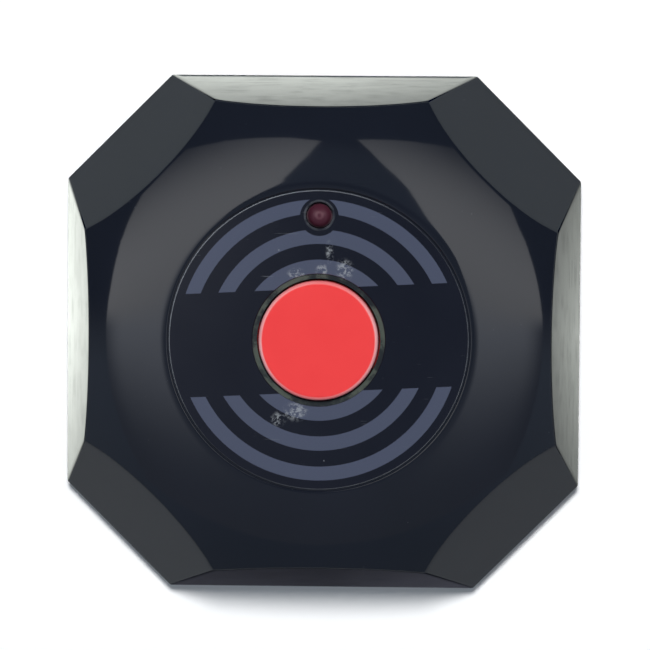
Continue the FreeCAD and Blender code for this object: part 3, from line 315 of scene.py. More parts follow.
def polished_case(shader):
    """Gloss with a ripple, specks and smears, and old dust on the ledge round the key."""
    spot = shader.place()
    cloud = shader.noise(spot, 0.09, 2.0)
    smear = shader.noise(shader.moved(spot, scale=(1.0, 0.25, 1.0)), 0.35, 4.0, 0.6)
    dust = shader.specks(spot, 0.9, 0.035) * smear.above(0.55, 0.1)
    tone = shader.blend(cloud, srgb(17, 22, 31), srgb(23, 27, 38))
    ripple = shader.noise(spot, 0.22, 1.0)
    x, y, z = shader.axes(spot)
    ledge = shader.reach(x, y).within(KEY_BORE, LEDGE_OUTER, 0.15) * z.above(LEDGE_Z, 0.1)
    grime = ledge * (0.12 + shader.noise(spot, 0.33, 4.0, 0.7).above(0.5, 0.2) * 0.6)
    clean = shader.blend(dust * 0.5, tone, srgb(120, 122, 128))
    return {
        "Base Color": shader.blend(grime, clean, srgb(76, 84, 74)),
        "Roughness": 0.035 + smear * 0.05 + dust * 0.4 + grime * 0.5,
        "IOR": 1.47,
        "Normal": shader.bump(ripple, 0.02, 0.5),
    }


def satin_case(shader):
    """The fine grain of a blasted mould, rubbed a little smoother in patches."""
    spot = shader.place()
    grain = shader.noise(spot, 9.0, 3.0, 0.6)
    rub = shader.noise(spot, 0.25, 3.0)
    return {
        "Base Color": shader.blend(rub, srgb(22, 25, 33), srgb(31, 34, 43)),
        "Roughness": 0.38 + grain * 0.14 - rub.above(0.6, 0.1) * 0.1,
        "IOR": 1.47,
        "Normal": shader.bump(grain, 0.12, 0.05),
    }


case_gloss = finish("case_gloss", polished_case)
case_satin = finish("case_satin", satin_case)
wear("base_cover", case_satin)

# %% [markdown]
# ## Tools for modelling
#
# Four helpers carry most of the work. `tube` extrudes a circle along a profile and leaves both ends
# open, `turned` spins a profile round an upright axis, `skin` lays faces between rings whose points
# come from a formula, and `shaded_mesh` finishes a form: smooth all over, but sharp at real edges.
# Forms are modelled in millimetres, where a bevel of a tenth is safe from rounding errors, and
# `shaded_mesh` brings them down to metres in one go.

# %% Finished pieces
def add_piece(name, mesh, material, replaced):
    """Put a finished mesh in the scene. Every piece that is modelled here rides the housing."""
    thing = bpy.data.objects.new(name, mesh)
    bpy.context.scene.collection.objects.link(thing)
    thing.data.materials.append(material)
    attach(thing, "housing")
    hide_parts(replaced)
    print("piece", name, "with", len(mesh.polygons), "faces")
    return thing


def shaded_mesh(name, form, angle=30):
    """Turn a bmesh into a mesh in metres, smooth except where faces meet at more than the angle."""
    bmesh.ops.scale(form, verts=form.verts, vec=(MM, MM, MM))
    bmesh.ops.recalc_face_normals(form, faces=form.faces)
    for face in form.faces:
        face.smooth = True
    for edge in form.edges:
        if edge.calc_face_angle(0.0) > math.radians(angle):
            edge.smooth = False
    mesh = bpy.data.meshes.new(name)
    form.to_mesh(mesh)
    form.free()
    return mesh

# %% Rings, tubes and turned forms
MERGE_DISTANCE = 0.0002


def skin(form, rings):
    """Faces between closed rings of equally many points; returns the vertices of each ring."""
    made = [[form.verts.new(point) for point in ring] for ring in rings]
    for first, second in zip(made, made[1:]):
        for step in range(len(first)):
            following = (step + 1) % len(first)
            form.faces.new((first[step], first[following], second[following], second[step]))
    return made


def ring_edges(form, ring):
    """The edges that run round a ring of vertices, made where there are none yet."""
    return [form.edges.get(pair) or form.edges.new(pair) for pair in zip(ring, ring[1:] + ring[:1])]


def tube(form, profile, middle, steps):
    """A circle drawn on through each (radius, height) of a profile; returns the edges of both ends."""
    radius, height = profile[0]
    place = Matrix.Translation((middle[0], middle[1], height))
    verts = bmesh.ops.create_circle(form, segments=steps, radius=radius, matrix=place)["verts"]
    first = list(dict.fromkeys(edge for vert in verts for edge in vert.link_edges))
    last = first
    for next_radius, next_height in profile[1:]:
        drawn = bmesh.ops.extrude_edge_only(form, edges=last)["geom"]
        verts = [piece for piece in drawn if isinstance(piece, bmesh.types.BMVert)]
        last = [piece for piece in drawn if isinstance(piece, bmesh.types.BMEdge) and piece.is_boundary]
        growth = next_radius / radius
        bmesh.ops.scale(form, verts=verts, vec=(growth, growth, 1), space=place.inverted())
        bmesh.ops.translate(form, verts=verts, vec=(0, 0, next_height - height))
        radius, height = next_radius, next_height
    return first, last


def turned(form, profile, middle, steps):
    """Spin a profile of (radius, height) points once round an upright axis through the middle."""
    verts = [form.verts.new(Vector(middle) + Vector((radius, 0, height))) for radius, height in profile]
    edges = [form.edges.new(pair) for pair in zip(verts, verts[1:])]
    bmesh.ops.spin(form, geom=verts + edges, cent=middle, axis=(0, 0, 1), angle=FULL_TURN, steps=steps,
                   use_merge=True)
    bmesh.ops.remove_doubles(form, verts=form.verts, dist=MERGE_DISTANCE)


def add_to(form, part):
    """Pour one bmesh into another."""
    carrier = bpy.data.meshes.new("carrier")
    part.to_mesh(carrier)
    part.free()
    form.from_mesh(carrier)
    bpy.data.meshes.remove(carrier)


def arc(middle, radius, start, end, steps):
    """Points (reach, height) along an arc whose angles are measured from straight up."""
    angles = [start + (end - start) * step / steps for step in range(steps + 1)]
    return [(middle[0] + radius * math.sin(angle), middle[1] + radius * math.cos(angle))
            for angle in angles]

# %% [markdown]
# ## The moulded cover
#
# The cover is a dome from which eight planes are shaved. In section the dome is a level crown, a
# short brow arc and a long shoulder arc, each tangent to the next. The mesh follows that idea.
# Every column of points starts at the label recess, runs out along the dome, turns over the crease
# and goes straight down its facet to the parting line. So each crease and each upright edge is a
# clean chain of edges, and one bevel rounds them all. Extra rows close beside the creases keep the
# facets flat to the eye. A spun dome cut by eight planes would be shorter to write, but the cuts
# would leave slivers beside the creases, and those spoil both a bevel and a gloss.

# %% The dome and its facets
PARTING = 2.3
SIDE_SLOPE, CORNER_SLOPE = 0.32, 0.67
SIDE_OUT, CORNER_OUT = 30.0, 33.8
WALL = 1.8
SHOULDER, SHOULDER_X = 24.1, 14.5
BROW, BROW_X = 5.0, 17.57
RECESS_RADIUS, RECESS_ROUND = 17.25, 0.12
CREASE_SPREAD = 0.16
NEAR_CREASE = 0.45
BESIDE_UPRIGHT = 0.045
CREASE_TRIALS = 40

recess_floor = label_low.z
crown_top = low_high("top_cover")[1].z
brow_z = crown_top - BROW
shoulder_z = brow_z - math.sqrt((SHOULDER - BROW) ** 2 - (BROW_X - SHOULDER_X) ** 2)
brow_end = math.asin((BROW_X - SHOULDER_X) / (SHOULDER - BROW))
print(f"crown at {crown_top:.2f}, recess floor at {recess_floor:.2f}, shoulder centre at {shoulder_z:.2f}")


def facet_spot(facet, share, height, inward):
    """A point on a facet. Facet 0 faces +X, and share runs from -1 to 1 across it."""
    side = SIDE_OUT - inward * math.hypot(1, SIDE_SLOPE) - SIDE_SLOPE * (height - PARTING)
    corner = CORNER_OUT - inward * math.hypot(1, CORNER_SLOPE) - CORNER_SLOPE * (height - PARTING)
    out, other = (corner, side) if facet % 2 else (side, corner)
    across = share * (math.sqrt(2) * other - out)
    turn = facet * FULL_TURN / 8
    return (out * math.cos(turn) - across * math.sin(turn),
            out * math.sin(turn) + across * math.cos(turn), height)


def crease_spot(facet, share, inward):
    """Where the dome meets a facet: the height is put in and read off the dome until it rests."""
    height = PARTING
    for _ in range(CREASE_TRIALS):
        x, y, _ = facet_spot(facet, share, height, inward)
        beyond = math.hypot(x, y) - SHOULDER_X
        height = shoulder_z + math.sqrt((SHOULDER - inward) ** 2 - beyond ** 2)
    return facet_spot(facet, share, height, inward)


def shares_across(steps):
    """Places across a facet, from its first upright edge, with one more close to either edge."""
    first, span = -1 + 2 * BESIDE_UPRIGHT, 2 - 4 * BESIDE_UPRIGHT
    inner = [first + span * step / steps for step in range(steps + 1)]
    return [-1, -1 + BESIDE_UPRIGHT] + inner + [1 - BESIDE_UPRIGHT]


def shell_rings(start_points, start_angle, inward, steps, dome_steps):
    """The rings of one skin of the shell, which one is the crease, and which columns are upright edges."""
    columns, upright = [], []
    for facet in range(8):
        upright.append(len(columns))
        for share in shares_across(steps[facet % 2]):
            x, y, height = crease_spot(facet, share, inward)
            reach = math.hypot(x, y)
            end_angle = math.asin((reach - SHOULDER_X) / (SHOULDER - inward))
            beside = end_angle - NEAR_CREASE / SHOULDER
            dome = arc((SHOULDER_X, shoulder_z), SHOULDER - inward, start_angle, beside, dome_steps)
            column = [(r * x / reach, r * y / reach, z) for r, z in start_points + dome]
            for level in (height, height - NEAR_CREASE, (height + PARTING) / 2, PARTING):
                column.append(facet_spot(facet, share, level, inward))
            columns.append(column)
    return list(zip(*columns)), len(start_points) + dome_steps + 1, upright

# %% The cover's inner sizes
COVER_HOLE_STEPS, BOSS_STEPS = 128, 32
BROW_STEPS, ROUND_STEPS = 8, 4
COLLAR_RADIUS = 8.3
LAMP_BORE, LAMP_TUBE = 1.70, 2.85
BOSS_RADIUS, PILOT_RADIUS, PILOT_TOP, SEAT = 2.5, 0.95, 8.2, 3.0
BOSS_SPOT = 19.703
GUIDE_LONG, GUIDE_WALL = 2.65, 1.0
GUIDE_X, GUIDE_Y = 8.975, 1.95
GUIDE_LOW, GUIDE_SUNK = 10.6, 0.9
COLLAR_DEPTH = 4.19
SLEEVE_LIFT = 1.1
OUTER_STEPS, OUTER_DOME_STEPS = (36, 22), 26
INNER_STEPS, INNER_DOME_STEPS = (16, 10), 10

collar_low = crown_top - COLLAR_DEPTH
sleeve_low = lamp_low.z + SLEEVE_LIFT
ceiling = recess_floor - WALL
guide_top = ceiling + GUIDE_SUNK
print(f"ceiling at {ceiling:.2f}, collar down to {collar_low:.2f}, sleeve down to {sleeve_low:.2f}")

# %% The cover's form
def cover_form():
    """The outer skin with its creases rounded, the inner skin, and what joins the two."""
    form = bmesh.new()
    rim_middle = (RECESS_RADIUS + RECESS_ROUND, crown_top - RECESS_ROUND)
    recess = [(RECESS_RADIUS, recess_floor)] + arc(rim_middle, RECESS_ROUND, -math.pi / 2, 0, ROUND_STEPS)
    brow = arc((BROW_X, brow_z), BROW, 0, brow_end, BROW_STEPS)
    rings, crease, upright = shell_rings(recess + brow[:-1], brow_end, 0.0, OUTER_STEPS, OUTER_DOME_STEPS)
    outer = skin(form, rings)
    sharp = ring_edges(form, outer[crease])
    for column in upright:
        for above, below in zip(outer[crease:], outer[crease + 1:]):
            sharp.append(form.edges.get((above[column], below[column])))
    form.normal_update()
    bmesh.ops.bevel(form, geom=sharp, offset=CREASE_SPREAD, offset_type="OFFSET", segments=3, profile=0.5,
                    affect="EDGES", material=-1)
    foot = [edge for edge in form.edges if edge.is_boundary and edge.verts[0].co.z < PARTING + 0.01]

    core = SHOULDER - WALL
    core_start = math.asin(math.sqrt(core ** 2 - (ceiling - shoulder_z) ** 2) / core)
    inner = skin(form, shell_rings([], core_start, WALL, INNER_STEPS, INNER_DOME_STEPS)[0])
    collar = tube(form, [(KEY_BORE, recess_floor), (KEY_BORE, collar_low), (COLLAR_RADIUS, collar_low),
                         (COLLAR_RADIUS, ceiling)], (0, 0), COVER_HOLE_STEPS)
    sleeve = tube(form, [(LAMP_BORE, recess_floor), (LAMP_BORE, sleeve_low), (LAMP_TUBE, sleeve_low),
                         (LAMP_TUBE, ceiling)], (0, lamp_y), COVER_HOLE_STEPS // 2)
    for ring, holes in ((outer[0], collar[0] + sleeve[0]), (inner[0], collar[1] + sleeve[1])):
        bmesh.ops.triangle_fill(form, edges=ring_edges(form, ring) + holes, use_beauty=True)
    bmesh.ops.triangle_fill(form, edges=foot + ring_edges(form, inner[-1]), use_beauty=True)

    for x, y in ((1, 1), (-1, 1), (-1, -1), (1, -1)):
        add_to(form, boss(x, y))
        guide = bmesh.new()
        bmesh.ops.create_cube(guide, size=1.0)
        bmesh.ops.scale(guide, verts=guide.verts, vec=(GUIDE_LONG, GUIDE_WALL, guide_top - GUIDE_LOW))
        bmesh.ops.translate(guide, verts=guide.verts,
                            vec=(GUIDE_X * x, GUIDE_Y * y, (guide_top + GUIDE_LOW) / 2))
        add_to(form, guide)
    return shaded_mesh("moulded_cover", form)


def boss(x, y):
    """A screw boss with its pilot bore, cut off aslant inside the corner facet's wall."""
    part = bmesh.new()
    spot = (BOSS_SPOT * x, BOSS_SPOT * y, 0)
    turned(part, [(0, crown_top), (BOSS_RADIUS, crown_top), (BOSS_RADIUS, SEAT), (PILOT_RADIUS, SEAT),
                  (PILOT_RADIUS, PILOT_TOP), (0, PILOT_TOP)], spot, BOSS_STEPS)
    outward = Vector((x, y, CORNER_SLOPE * math.sqrt(2)))
    mid_wall = Vector(facet_spot(1, 0, PARTING, WALL / 2))
    mid_wall = Vector((abs(mid_wall.x) * x, abs(mid_wall.y) * y, PARTING))
    everything = list(part.verts) + list(part.edges) + list(part.faces)
    sliced = bmesh.ops.bisect_plane(part, geom=everything, plane_co=mid_wall, plane_no=outward,
                                    clear_outer=True)
    rim = [piece for piece in sliced["geom_cut"] if isinstance(piece, bmesh.types.BMEdge)]
    bmesh.ops.edgeloop_fill(part, edges=rim)
    return part


add_piece("moulded_cover", cover_form(), case_gloss, "top_cover")

# %% [markdown]
# ## The label
#
# The label is a printed film, let into a round recess. It is modelled anew as a disc with its
# upper edges just broken, as a punched film has them, with round holes for the key and the lamp.
# Its print is a set of three arcs above and three below the key, cut off level, with a dark disc
# round the lamp, printed a touch too low. The arcs are worked out from the distance to the middle,
# so the print stays sharp at any size. It was stuck on a little turned, and so are its cut lines.
# The ink stops just short of the punched edge, which shows as a thin pale line. A highlight is
# painted on that line, bright at the upper left and faint at the lower right, and a pale ring is
# painted round the lamp hole as a reflection.

# %% The label's form
LABEL_HOLE = 7.55
LAMP_HOLE = 1.51
FILM_BREAK = 0.07
LABEL_STEPS = 192
HOLE_STEPS = 48


def label_form():
    """A disc with two holes: a wall round each outline, then filled above and below."""
    form = bmesh.new()
    upper_edges, lower_edges = [], []
    outlines = ((LABEL_RADIUS, (0, 0), LABEL_STEPS, 1), (LABEL_HOLE, (0, 0), LABEL_STEPS, -1),
                (LAMP_HOLE, (0, lamp_y), HOLE_STEPS, -1))
    for radius, middle, steps, side in outlines:
        lower, upper = tube(form, [(radius, label_low.z), (radius, label_high.z - FILM_BREAK),
                                   (radius - FILM_BREAK * side, label_high.z)], middle, steps)
        lower_edges += lower
        upper_edges += upper
    bmesh.ops.triangle_fill(form, edges=upper_edges, use_beauty=True)
    bmesh.ops.triangle_fill(form, edges=lower_edges, use_beauty=True)
    return shaded_mesh("printed_label", form)

# %% Label print
ARC_BANDS = ((7.56, 9.17), (10.96, 12.59), (14.41, 16.0))
ARC_CUT = 5.9
PRINT_TURN = math.radians(2.9)
LAMP_DISC = 2.2
DISC_DROP = 0.15
PRINT_EDGE = 0.07
# Width of the bare film edge, which also carries a painted highlight.
BARE_EDGE_AND_HIGHLIGHT = 0.10
# Width of the pale ring painted round the lamp hole as a reflection.
PAINTED_RING_WIDTH = 0.25


def printed_film(shader):
    """Dark ink with pale arcs, a bare edge with a highlight painted on two sides, a pale ring painted round
    the lamp hole, and scuffs round the key.
    """
    spot = shader.place()
    x, y, _ = shader.axes(shader.moved(spot, turn=(0, 0, -PRINT_TURN)))
    flat_x, flat_y, _ = shader.axes(spot)
    reach = shader.reach(x, y)
    arcs = 0
    for inner, outer in ARC_BANDS:
        arcs = reach.within(inner, outer, PRINT_EDGE) + arcs
    lamp_reach = shader.reach(flat_x, flat_y - lamp_y)
    disc_reach = shader.reach(flat_x, flat_y - lamp_y + DISC_DROP)
    arcs = arcs * abs(y).above(ARC_CUT, PRINT_EDGE) * disc_reach.above(LAMP_DISC, PRINT_EDGE)
    grain = shader.noise(spot, 6.0, 2.0)
    cloud = shader.noise(spot, 0.12, 2.0)
    ink = shader.blend(cloud, srgb(12, 16, 28), srgb(18, 22, 34))
    pale = shader.blend(grain, srgb(68, 74, 92), srgb(73, 79, 98))
    scuff = scuffs(shader, spot, x, y)
    printed = shader.blend(arcs, ink, pale)

    # The bare edge is a real pale line; the highlight on it, bright at the upper left and faint at the
    # lower right, is painted light.
    rim = shader.reach(flat_x, flat_y).above(LABEL_RADIUS - BARE_EDGE_AND_HIGHLIGHT, 0.05)
    upper_left = (flat_y - flat_x) / LABEL_RADIUS * math.sqrt(0.5)
    edge_highlight = upper_left.above(0.45, 1.1) * 0.75 + upper_left.below(-0.5, 0.9) * 0.3
    uneven = 0.5 + shader.noise(spot, 1.1, 3.0) * 0.8
    edged = shader.blend(rim * (0.1 + edge_highlight) * uneven, printed, srgb(138, 142, 148))
    # Painted reflection: a patchy pale ring round the lamp hole, where light shows on the lens's edge.
    patchy = shader.noise(spot, 0.9, 3.0).above(0.45, 0.3)
    collar = lamp_reach.below(LAMP_HOLE + PAINTED_RING_WIDTH, 0.12) * patchy * 0.14
    return {
        "Base Color": shader.blend(scuff * 0.6 + collar, edged, srgb(150, 155, 160)),
        "Roughness": 0.13 + cloud * 0.04 + scuff * 0.3,
        "IOR": 1.45,
        "Normal": shader.bump(arcs * 0.3 + grain * 0.015, 0.12, 0.02),
    }


# Each scuff: x, y, radius and how much narrower it is than high.
SCUFF_SPOTS = ((3.3, 7.9, 1.0, 1.4), (1.7, 9.9, 1.1, 9.0), (0.7, 7.9, 0.7, 1.5), (-3.0, -8.0, 0.9, 0.6),
               (-5.0, -8.8, 0.7, 1.0), (-2.2, 7.6, 0.6, 0.5))


def scuffs(shader, spot, x, y):
    """Pale marks that fingers and cleaning leave round the key, and fine scratches."""
    rough = shader.noise(spot, 1.6, 6.0, 0.75)
    patches = 0
    for middle_x, middle_y, radius, squash in SCUFF_SPOTS:
        beside, above = x - middle_x, y - middle_y
        away = (beside * beside * squash + above * above) ** 0.5
        patches = away.below(radius, radius) + patches
    streaks = shader.noise(shader.moved(spot, turn=(0, 0, 0.8), scale=(0.10, 2.6, 1.0)), 1.3, 4.0, 0.7)
    fine = streaks.above(0.68, 0.02) * shader.noise(spot, 0.3, 1.0).above(0.55, 0.1)
    dots = shader.specks(spot, 0.55, 0.06) * shader.noise(spot, 0.4, 1.0).above(0.6, 0.05)
    return rough.above(0.52, 0.12) * patches + fine * 0.3 + dots * 0.5


label_print = finish("label_print", printed_film)
add_piece("printed_label", label_form(), label_print, "face_label")

# %% [markdown]
# ## Key and lamp
#
# Both stay as the construction has them. The key's plastic is satin red, with a highlight painted
# round its upper edge, strongest at the two sides. The lamp is a dull dark red resin lens: a highlight
# painted in the middle stands for the small reflector cup inside it, and its steep side is painted
# paler and greyer, which lifts the shade down in the hole.

# %% Key finish
def red_key(shader):
    """Satin red, with a highlight painted round its upper edge, strongest at the two sides."""
    spot = shader.place()
    x, y, z = shader.axes(spot)
    reach = shader.reach(x, y)
    cloud = shader.noise(spot, 0.3, 3.0)
    grain = shader.noise(spot, 12.0, 2.0)
    # Painted highlight: the rounded upper edge is painted pale pink, most at the two sides, where the
    # softboxes would light it.
    rim = reach.above(KEY_RADIUS - 0.36, 0.2) * z.above(key_high.z - 0.6, 0.2)
    sides = abs(x) / KEY_RADIUS
    rim_highlight = rim * (0.1 + cloud * 0.6 + sides.above(0.7, 0.7) * 0.4)
    red = shader.blend(cloud, srgb(226, 52, 54), srgb(233, 60, 60))
    return {
        "Base Color": shader.blend(rim_highlight, red, srgb(232, 176, 178)),
        "Roughness": 0.36 + grain * 0.08,
        "IOR": 1.47,
        "Normal": shader.bump(grain, 0.06, 0.03),
    }


key_red = finish("key_red", red_key)
wear("call_key", key_red)

# %% Lamp finish
def lamp_red(shader):
    """Dark red resin, with a highlight painted over the reflector cup and its steep side painted paler to
    lift the shade.
    """
    spot = shader.place()
    x, y, z = shader.axes(spot)
    swirl = shader.noise(spot, 0.8, 2.0)
    reach = shader.reach(x, y - lamp_y)
    # Painted highlight: a paler ring in the middle, for the reflector cup inside catching light.
    core = reach.within(0.2, 0.5, 0.2)
    # Painted light: the steep side down in the hole is painted paler and greyer, which lifts the shade
    # there.
    rim = reach.above(1.36, 0.2) * z.above(lamp_high.z - 2.2, 0.3)
    red = shader.blend(swirl, srgb(62, 28, 41), srgb(74, 34, 47))
    deep = shader.blend(rim, red, srgb(128, 104, 114))
    return {
        "Base Color": shader.blend(core * 0.25, deep, srgb(120, 84, 92)),
        "Roughness": 0.32 + swirl * 0.08,
        "IOR": 1.36,
    }


lamp_resin = finish("lamp_resin", lamp_red)
wear("signal_led", lamp_resin)

# %% [markdown]
# ## Screws with a thread
#
# A self-tapping screw is a turned head and core, with a ridge wound round it. The ridge is a small
# triangle that is spun several turns while it climbs: `spin` does this when it is given a shift
# for each step. The cross recess is a ring of twelve points, drawn down and inwards.

# %% Screws
HEAD_STEPS = 48
# The head's rounded edge: how far inside the head's radius each point lies, and its height.
HEAD_EDGE = ((0.35, 0.0), (0.12, 0.1), (0.0, 0.3))
# The slant under the head's edge: its height and its width.
UNDER_HEAD, UNDER_WIDTH = 0.15, 0.1
CROSS_HALF, CROSS_BAR = 1.1, 0.25
# The cross recess: each depth, and the shares of the cross's length and width that are left there.
CROSS_RINGS = ((0.0, 1.0, 1.0), (0.25, 0.92, 0.9), (0.55, 0.6, 0.7))
THREAD_STEPS, THREAD_PITCH, THREAD_SUNK = 24, 0.62, 0.06
THREAD_GAP, THREAD_FOOT = 0.15, 0.28
CORE_SHARE = 0.78
TIP_LENGTH, TIP_RADIUS = 1.0, 0.15
SCREW_ANGLE = 40


def cross_ring(height, half, bar):
    """Twelve points round a plus sign."""
    corner = [(half, -bar), (half, bar), (bar, bar)]
    points = []
    for quarter in range(4):
        turn = Matrix.Rotation(quarter * FULL_TURN / 4, 2)
        points += [tuple(turn @ Vector(point)) + (height,) for point in corner]
    return points


def screw(head_radius, head_rise, shank_radius, length):
    """One screw standing on its head, its recess at height 0."""
    part = bmesh.new()
    core = shank_radius * CORE_SHARE
    shank_end = length - TIP_LENGTH
    edge = [(head_radius - inside, height) for inside, height in HEAD_EDGE]
    under = [(head_radius, head_rise - UNDER_HEAD), (head_radius - UNDER_WIDTH, head_rise)]
    shank = [(core, head_rise), (core, shank_end), (TIP_RADIUS, length)]
    head_end, tip_end = tube(part, edge + under + shank, (0, 0), HEAD_STEPS)
    bmesh.ops.edgeloop_fill(part, edges=tip_end)
    recess = skin(part, [cross_ring(depth, CROSS_HALF * length_left, CROSS_BAR * width_left)
                         for depth, length_left, width_left in CROSS_RINGS])
    part.faces.new(recess[-1])
    bmesh.ops.triangle_fill(part, edges=head_end + ring_edges(part, recess[0]), use_beauty=True)

    low = head_rise + THREAD_GAP
    turns = int((shank_end - low) / THREAD_PITCH)
    ridge = [part.verts.new(point) for point in (
        (core - THREAD_SUNK, 0, low), (shank_radius, 0, low + THREAD_FOOT / 2),
        (core - THREAD_SUNK, 0, low + THREAD_FOOT))]
    tooth = part.faces.new(ridge)
    bmesh.ops.spin(part, geom=[tooth] + list(tooth.edges) + ridge, cent=(0, 0, 0), axis=(0, 0, 1),
                   angle=FULL_TURN * turns, steps=THREAD_STEPS * turns,
                   dvec=(0, 0, THREAD_PITCH / THREAD_STEPS))
    return part


def screw_set(name, spots, low, up, sizes):
    """Equal screws at several places, their heads at low; up is -1 for screws that point down."""
    form = bmesh.new()
    for x, y in spots:
        part = screw(**sizes)
        bmesh.ops.scale(part, verts=part.verts, vec=(1, 1, up))
        bmesh.ops.translate(part, verts=part.verts, vec=(x, y, low))
        add_to(form, part)
    return shaded_mesh(name, form, SCREW_ANGLE)


def zinc_steel(shader):
    """Bright zinc plate, cloudy, with the rings that turning leaves."""
    spot = shader.place()
    cloud = shader.noise(spot, 1.2, 4.0, 0.6)
    rings = shader.noise(shader.moved(spot, scale=(1, 1, 14)), 1.5, 2.0)
    return {
        "Base Color": shader.blend(cloud, srgb(150, 152, 158), srgb(192, 192, 196)),
        "Metallic": 1.0,
        "Roughness": 0.26 + cloud * 0.16 + rings * 0.06,
        "Normal": shader.bump(rings, 0.08, 0.03),
    }


COVER_SCREW = {"head_radius": 2.0, "head_rise": 1.2, "shank_radius": 0.9, "length": 7.6}
COVER_SCREW_LOW = 0.2
BOARD_SCREW = {"head_radius": 1.9, "head_rise": 1.1, "shank_radius": 0.85, "length": 4.0}
BOARD_SCREW_X, BOARD_SCREW_Y = 21.3, -2.0

screw_finish = finish("screw_zinc", zinc_steel)
corner_spots = [(BOSS_SPOT * x, BOSS_SPOT * y) for x in (-1, 1) for y in (-1, 1)]
cover_screws = screw_set("threaded_cover_screws", corner_spots, COVER_SCREW_LOW, 1, COVER_SCREW)
add_piece("threaded_cover_screws", cover_screws, screw_finish, "cover_screws")
board_spots = [(side * BOARD_SCREW_X, BOARD_SCREW_Y) for side in (-1, 1)]
board_screws = screw_set("threaded_board_screws", board_spots, board_high.z + BOARD_SCREW["head_rise"], -1,
                         BOARD_SCREW)
add_piece("threaded_board_screws", board_screws, screw_finish, "board_screws")

# %% [markdown]
# ## Wound wire
#
# The antenna coil and the battery's contact spring are round wire wound in a helix. Both come from
# one disc that is spun round the winding's axis and shifted a little at every step. The spring is
# then drawn narrower towards the battery: each point moves in by how far along it stands.

# %% Coil and spring
WIND_STEPS = 32
WIRE_SIDES = 12
WIRE_ANGLE = 60
ANTENNA_WIRE, ANTENNA_RADIUS, ANTENNA_PITCH, ANTENNA_TURNS = 0.33, 2.2, 1.7, 6
ANTENNA_LIFT = 0.7
SPRING_WIRE, SPRING_WIDE, SPRING_NARROW, SPRING_TURNS = 0.22, 2.3, 1.7, 2.5
SPRING_MARGIN = 0.25
CELL_Y, CELL_Z = -14.2, 7.15


def wound(form, start, axis_spot, wire, turns, pitch):
    """Wire wound round an axis along X, beginning at a point straight under the axis."""
    upright = Matrix.Translation(start) @ Matrix.Rotation(math.pi / 2, 4, "X")
    section = bmesh.ops.create_circle(form, cap_ends=True, radius=wire, segments=WIRE_SIDES, matrix=upright)
    verts = section["verts"]
    faces = list({face for vert in verts for face in vert.link_faces})
    edges = list({edge for vert in verts for edge in vert.link_edges})
    bmesh.ops.spin(form, geom=verts + edges + faces, cent=axis_spot, axis=(1, 0, 0),
                   angle=FULL_TURN * turns, steps=int(WIND_STEPS * turns), dvec=(pitch / WIND_STEPS, 0, 0))


def antenna_form():
    """The winding, and at either end a bend and a leg down to the board."""
    low, high = low_high("antenna_coil")
    length = ANTENNA_PITCH * ANTENNA_TURNS
    axis_z = board_high.z + ANTENNA_RADIUS + ANTENNA_LIFT
    axis = Vector(((low.x + high.x) / 2, (low.y + high.y) / 2, axis_z))
    first = Vector((axis.x - length / 2, axis.y, axis.z - ANTENNA_RADIUS))
    form = bmesh.new()
    wound(form, first, (first.x, axis.y, axis.z), ANTENNA_WIRE, ANTENNA_TURNS, ANTENNA_PITCH)
    for foot in (first, first + Vector((length, 0, 0))):
        bmesh.ops.create_uvsphere(form, u_segments=WIRE_SIDES, v_segments=8, radius=ANTENNA_WIRE,
                                  matrix=Matrix.Translation(foot))
        middle = Matrix.Translation((foot.x, foot.y, (foot.z + low.z) / 2))
        bmesh.ops.create_cone(form, cap_ends=True, segments=WIRE_SIDES, radius1=ANTENNA_WIRE,
                              radius2=ANTENNA_WIRE, depth=foot.z - low.z, matrix=middle)
    return shaded_mesh("antenna_winding", form, WIRE_ANGLE)


def spring_form():
    """A winding along the battery's axis, drawn narrower towards the battery."""
    low, high = low_high("contact_spring")
    length = high.x - low.x - 2 * SPRING_MARGIN
    axis = Vector((low.x + SPRING_MARGIN, CELL_Y, CELL_Z))
    form = bmesh.new()
    wound(form, axis - Vector((0, 0, SPRING_WIDE)), axis, SPRING_WIRE, SPRING_TURNS, length / SPRING_TURNS)
    for vert in form.verts:
        outward = Vector((0, vert.co.y - axis.y, vert.co.z - axis.z))
        drawn_in = (SPRING_WIDE - SPRING_NARROW) * (vert.co.x - axis.x) / length
        vert.co -= outward.normalized() * drawn_in
    return shaded_mesh("spring_winding", form, WIRE_ANGLE)


def enamelled_copper(shader):
    """Copper under clear enamel, a little different from turn to turn."""
    spot = shader.place()
    turns = shader.noise(shader.moved(spot, scale=(9, 1, 1)), 1.0, 2.0)
    cloud = shader.noise(spot, 0.8, 3.0)
    return {
        "Base Color": shader.blend(cloud, srgb(170, 84, 46), srgb(204, 112, 62)),
        "Metallic": 0.9,
        "Roughness": 0.2 + turns * 0.12,
        "Coat Weight": 0.6 + cloud * 0.3,
        "Normal": shader.bump(turns, 0.05, 0.03),
    }


def spring_wire(shader):
    """Plated steel with the fine lines of drawing along the wire."""
    spot = shader.place()
    drawn = shader.noise(shader.moved(spot, scale=(1, 6, 6)), 1.0, 3.0)
    return {
        "Base Color": shader.blend(drawn, srgb(176, 176, 178), srgb(214, 212, 208)),
        "Metallic": 1.0,
        "Roughness": 0.22 + drawn * 0.14,
        "Normal": shader.bump(drawn, 0.06, 0.02),
    }


copper = finish("enamelled_copper", enamelled_copper)
add_piece("antenna_winding", antenna_form(), copper, "antenna_coil")
spring = finish("spring_wire", spring_wire)
add_piece("spring_winding", spring_form(), spring, "contact_spring")

# %% [markdown]
# ## What is under the cover
#
# Nobody sees the inside of a closed button, but a part that is taken apart in an animation must
# hold up. Painting each part by itself would repeat the same few ideas, so three families of finish
# cover most of them: moulded plastic, rolled or drawn metal, and a printed sleeve. Each family is a
# function that returns a finish. The board, the capacitor, the chip and the small ceramics get
# patterns of their own.

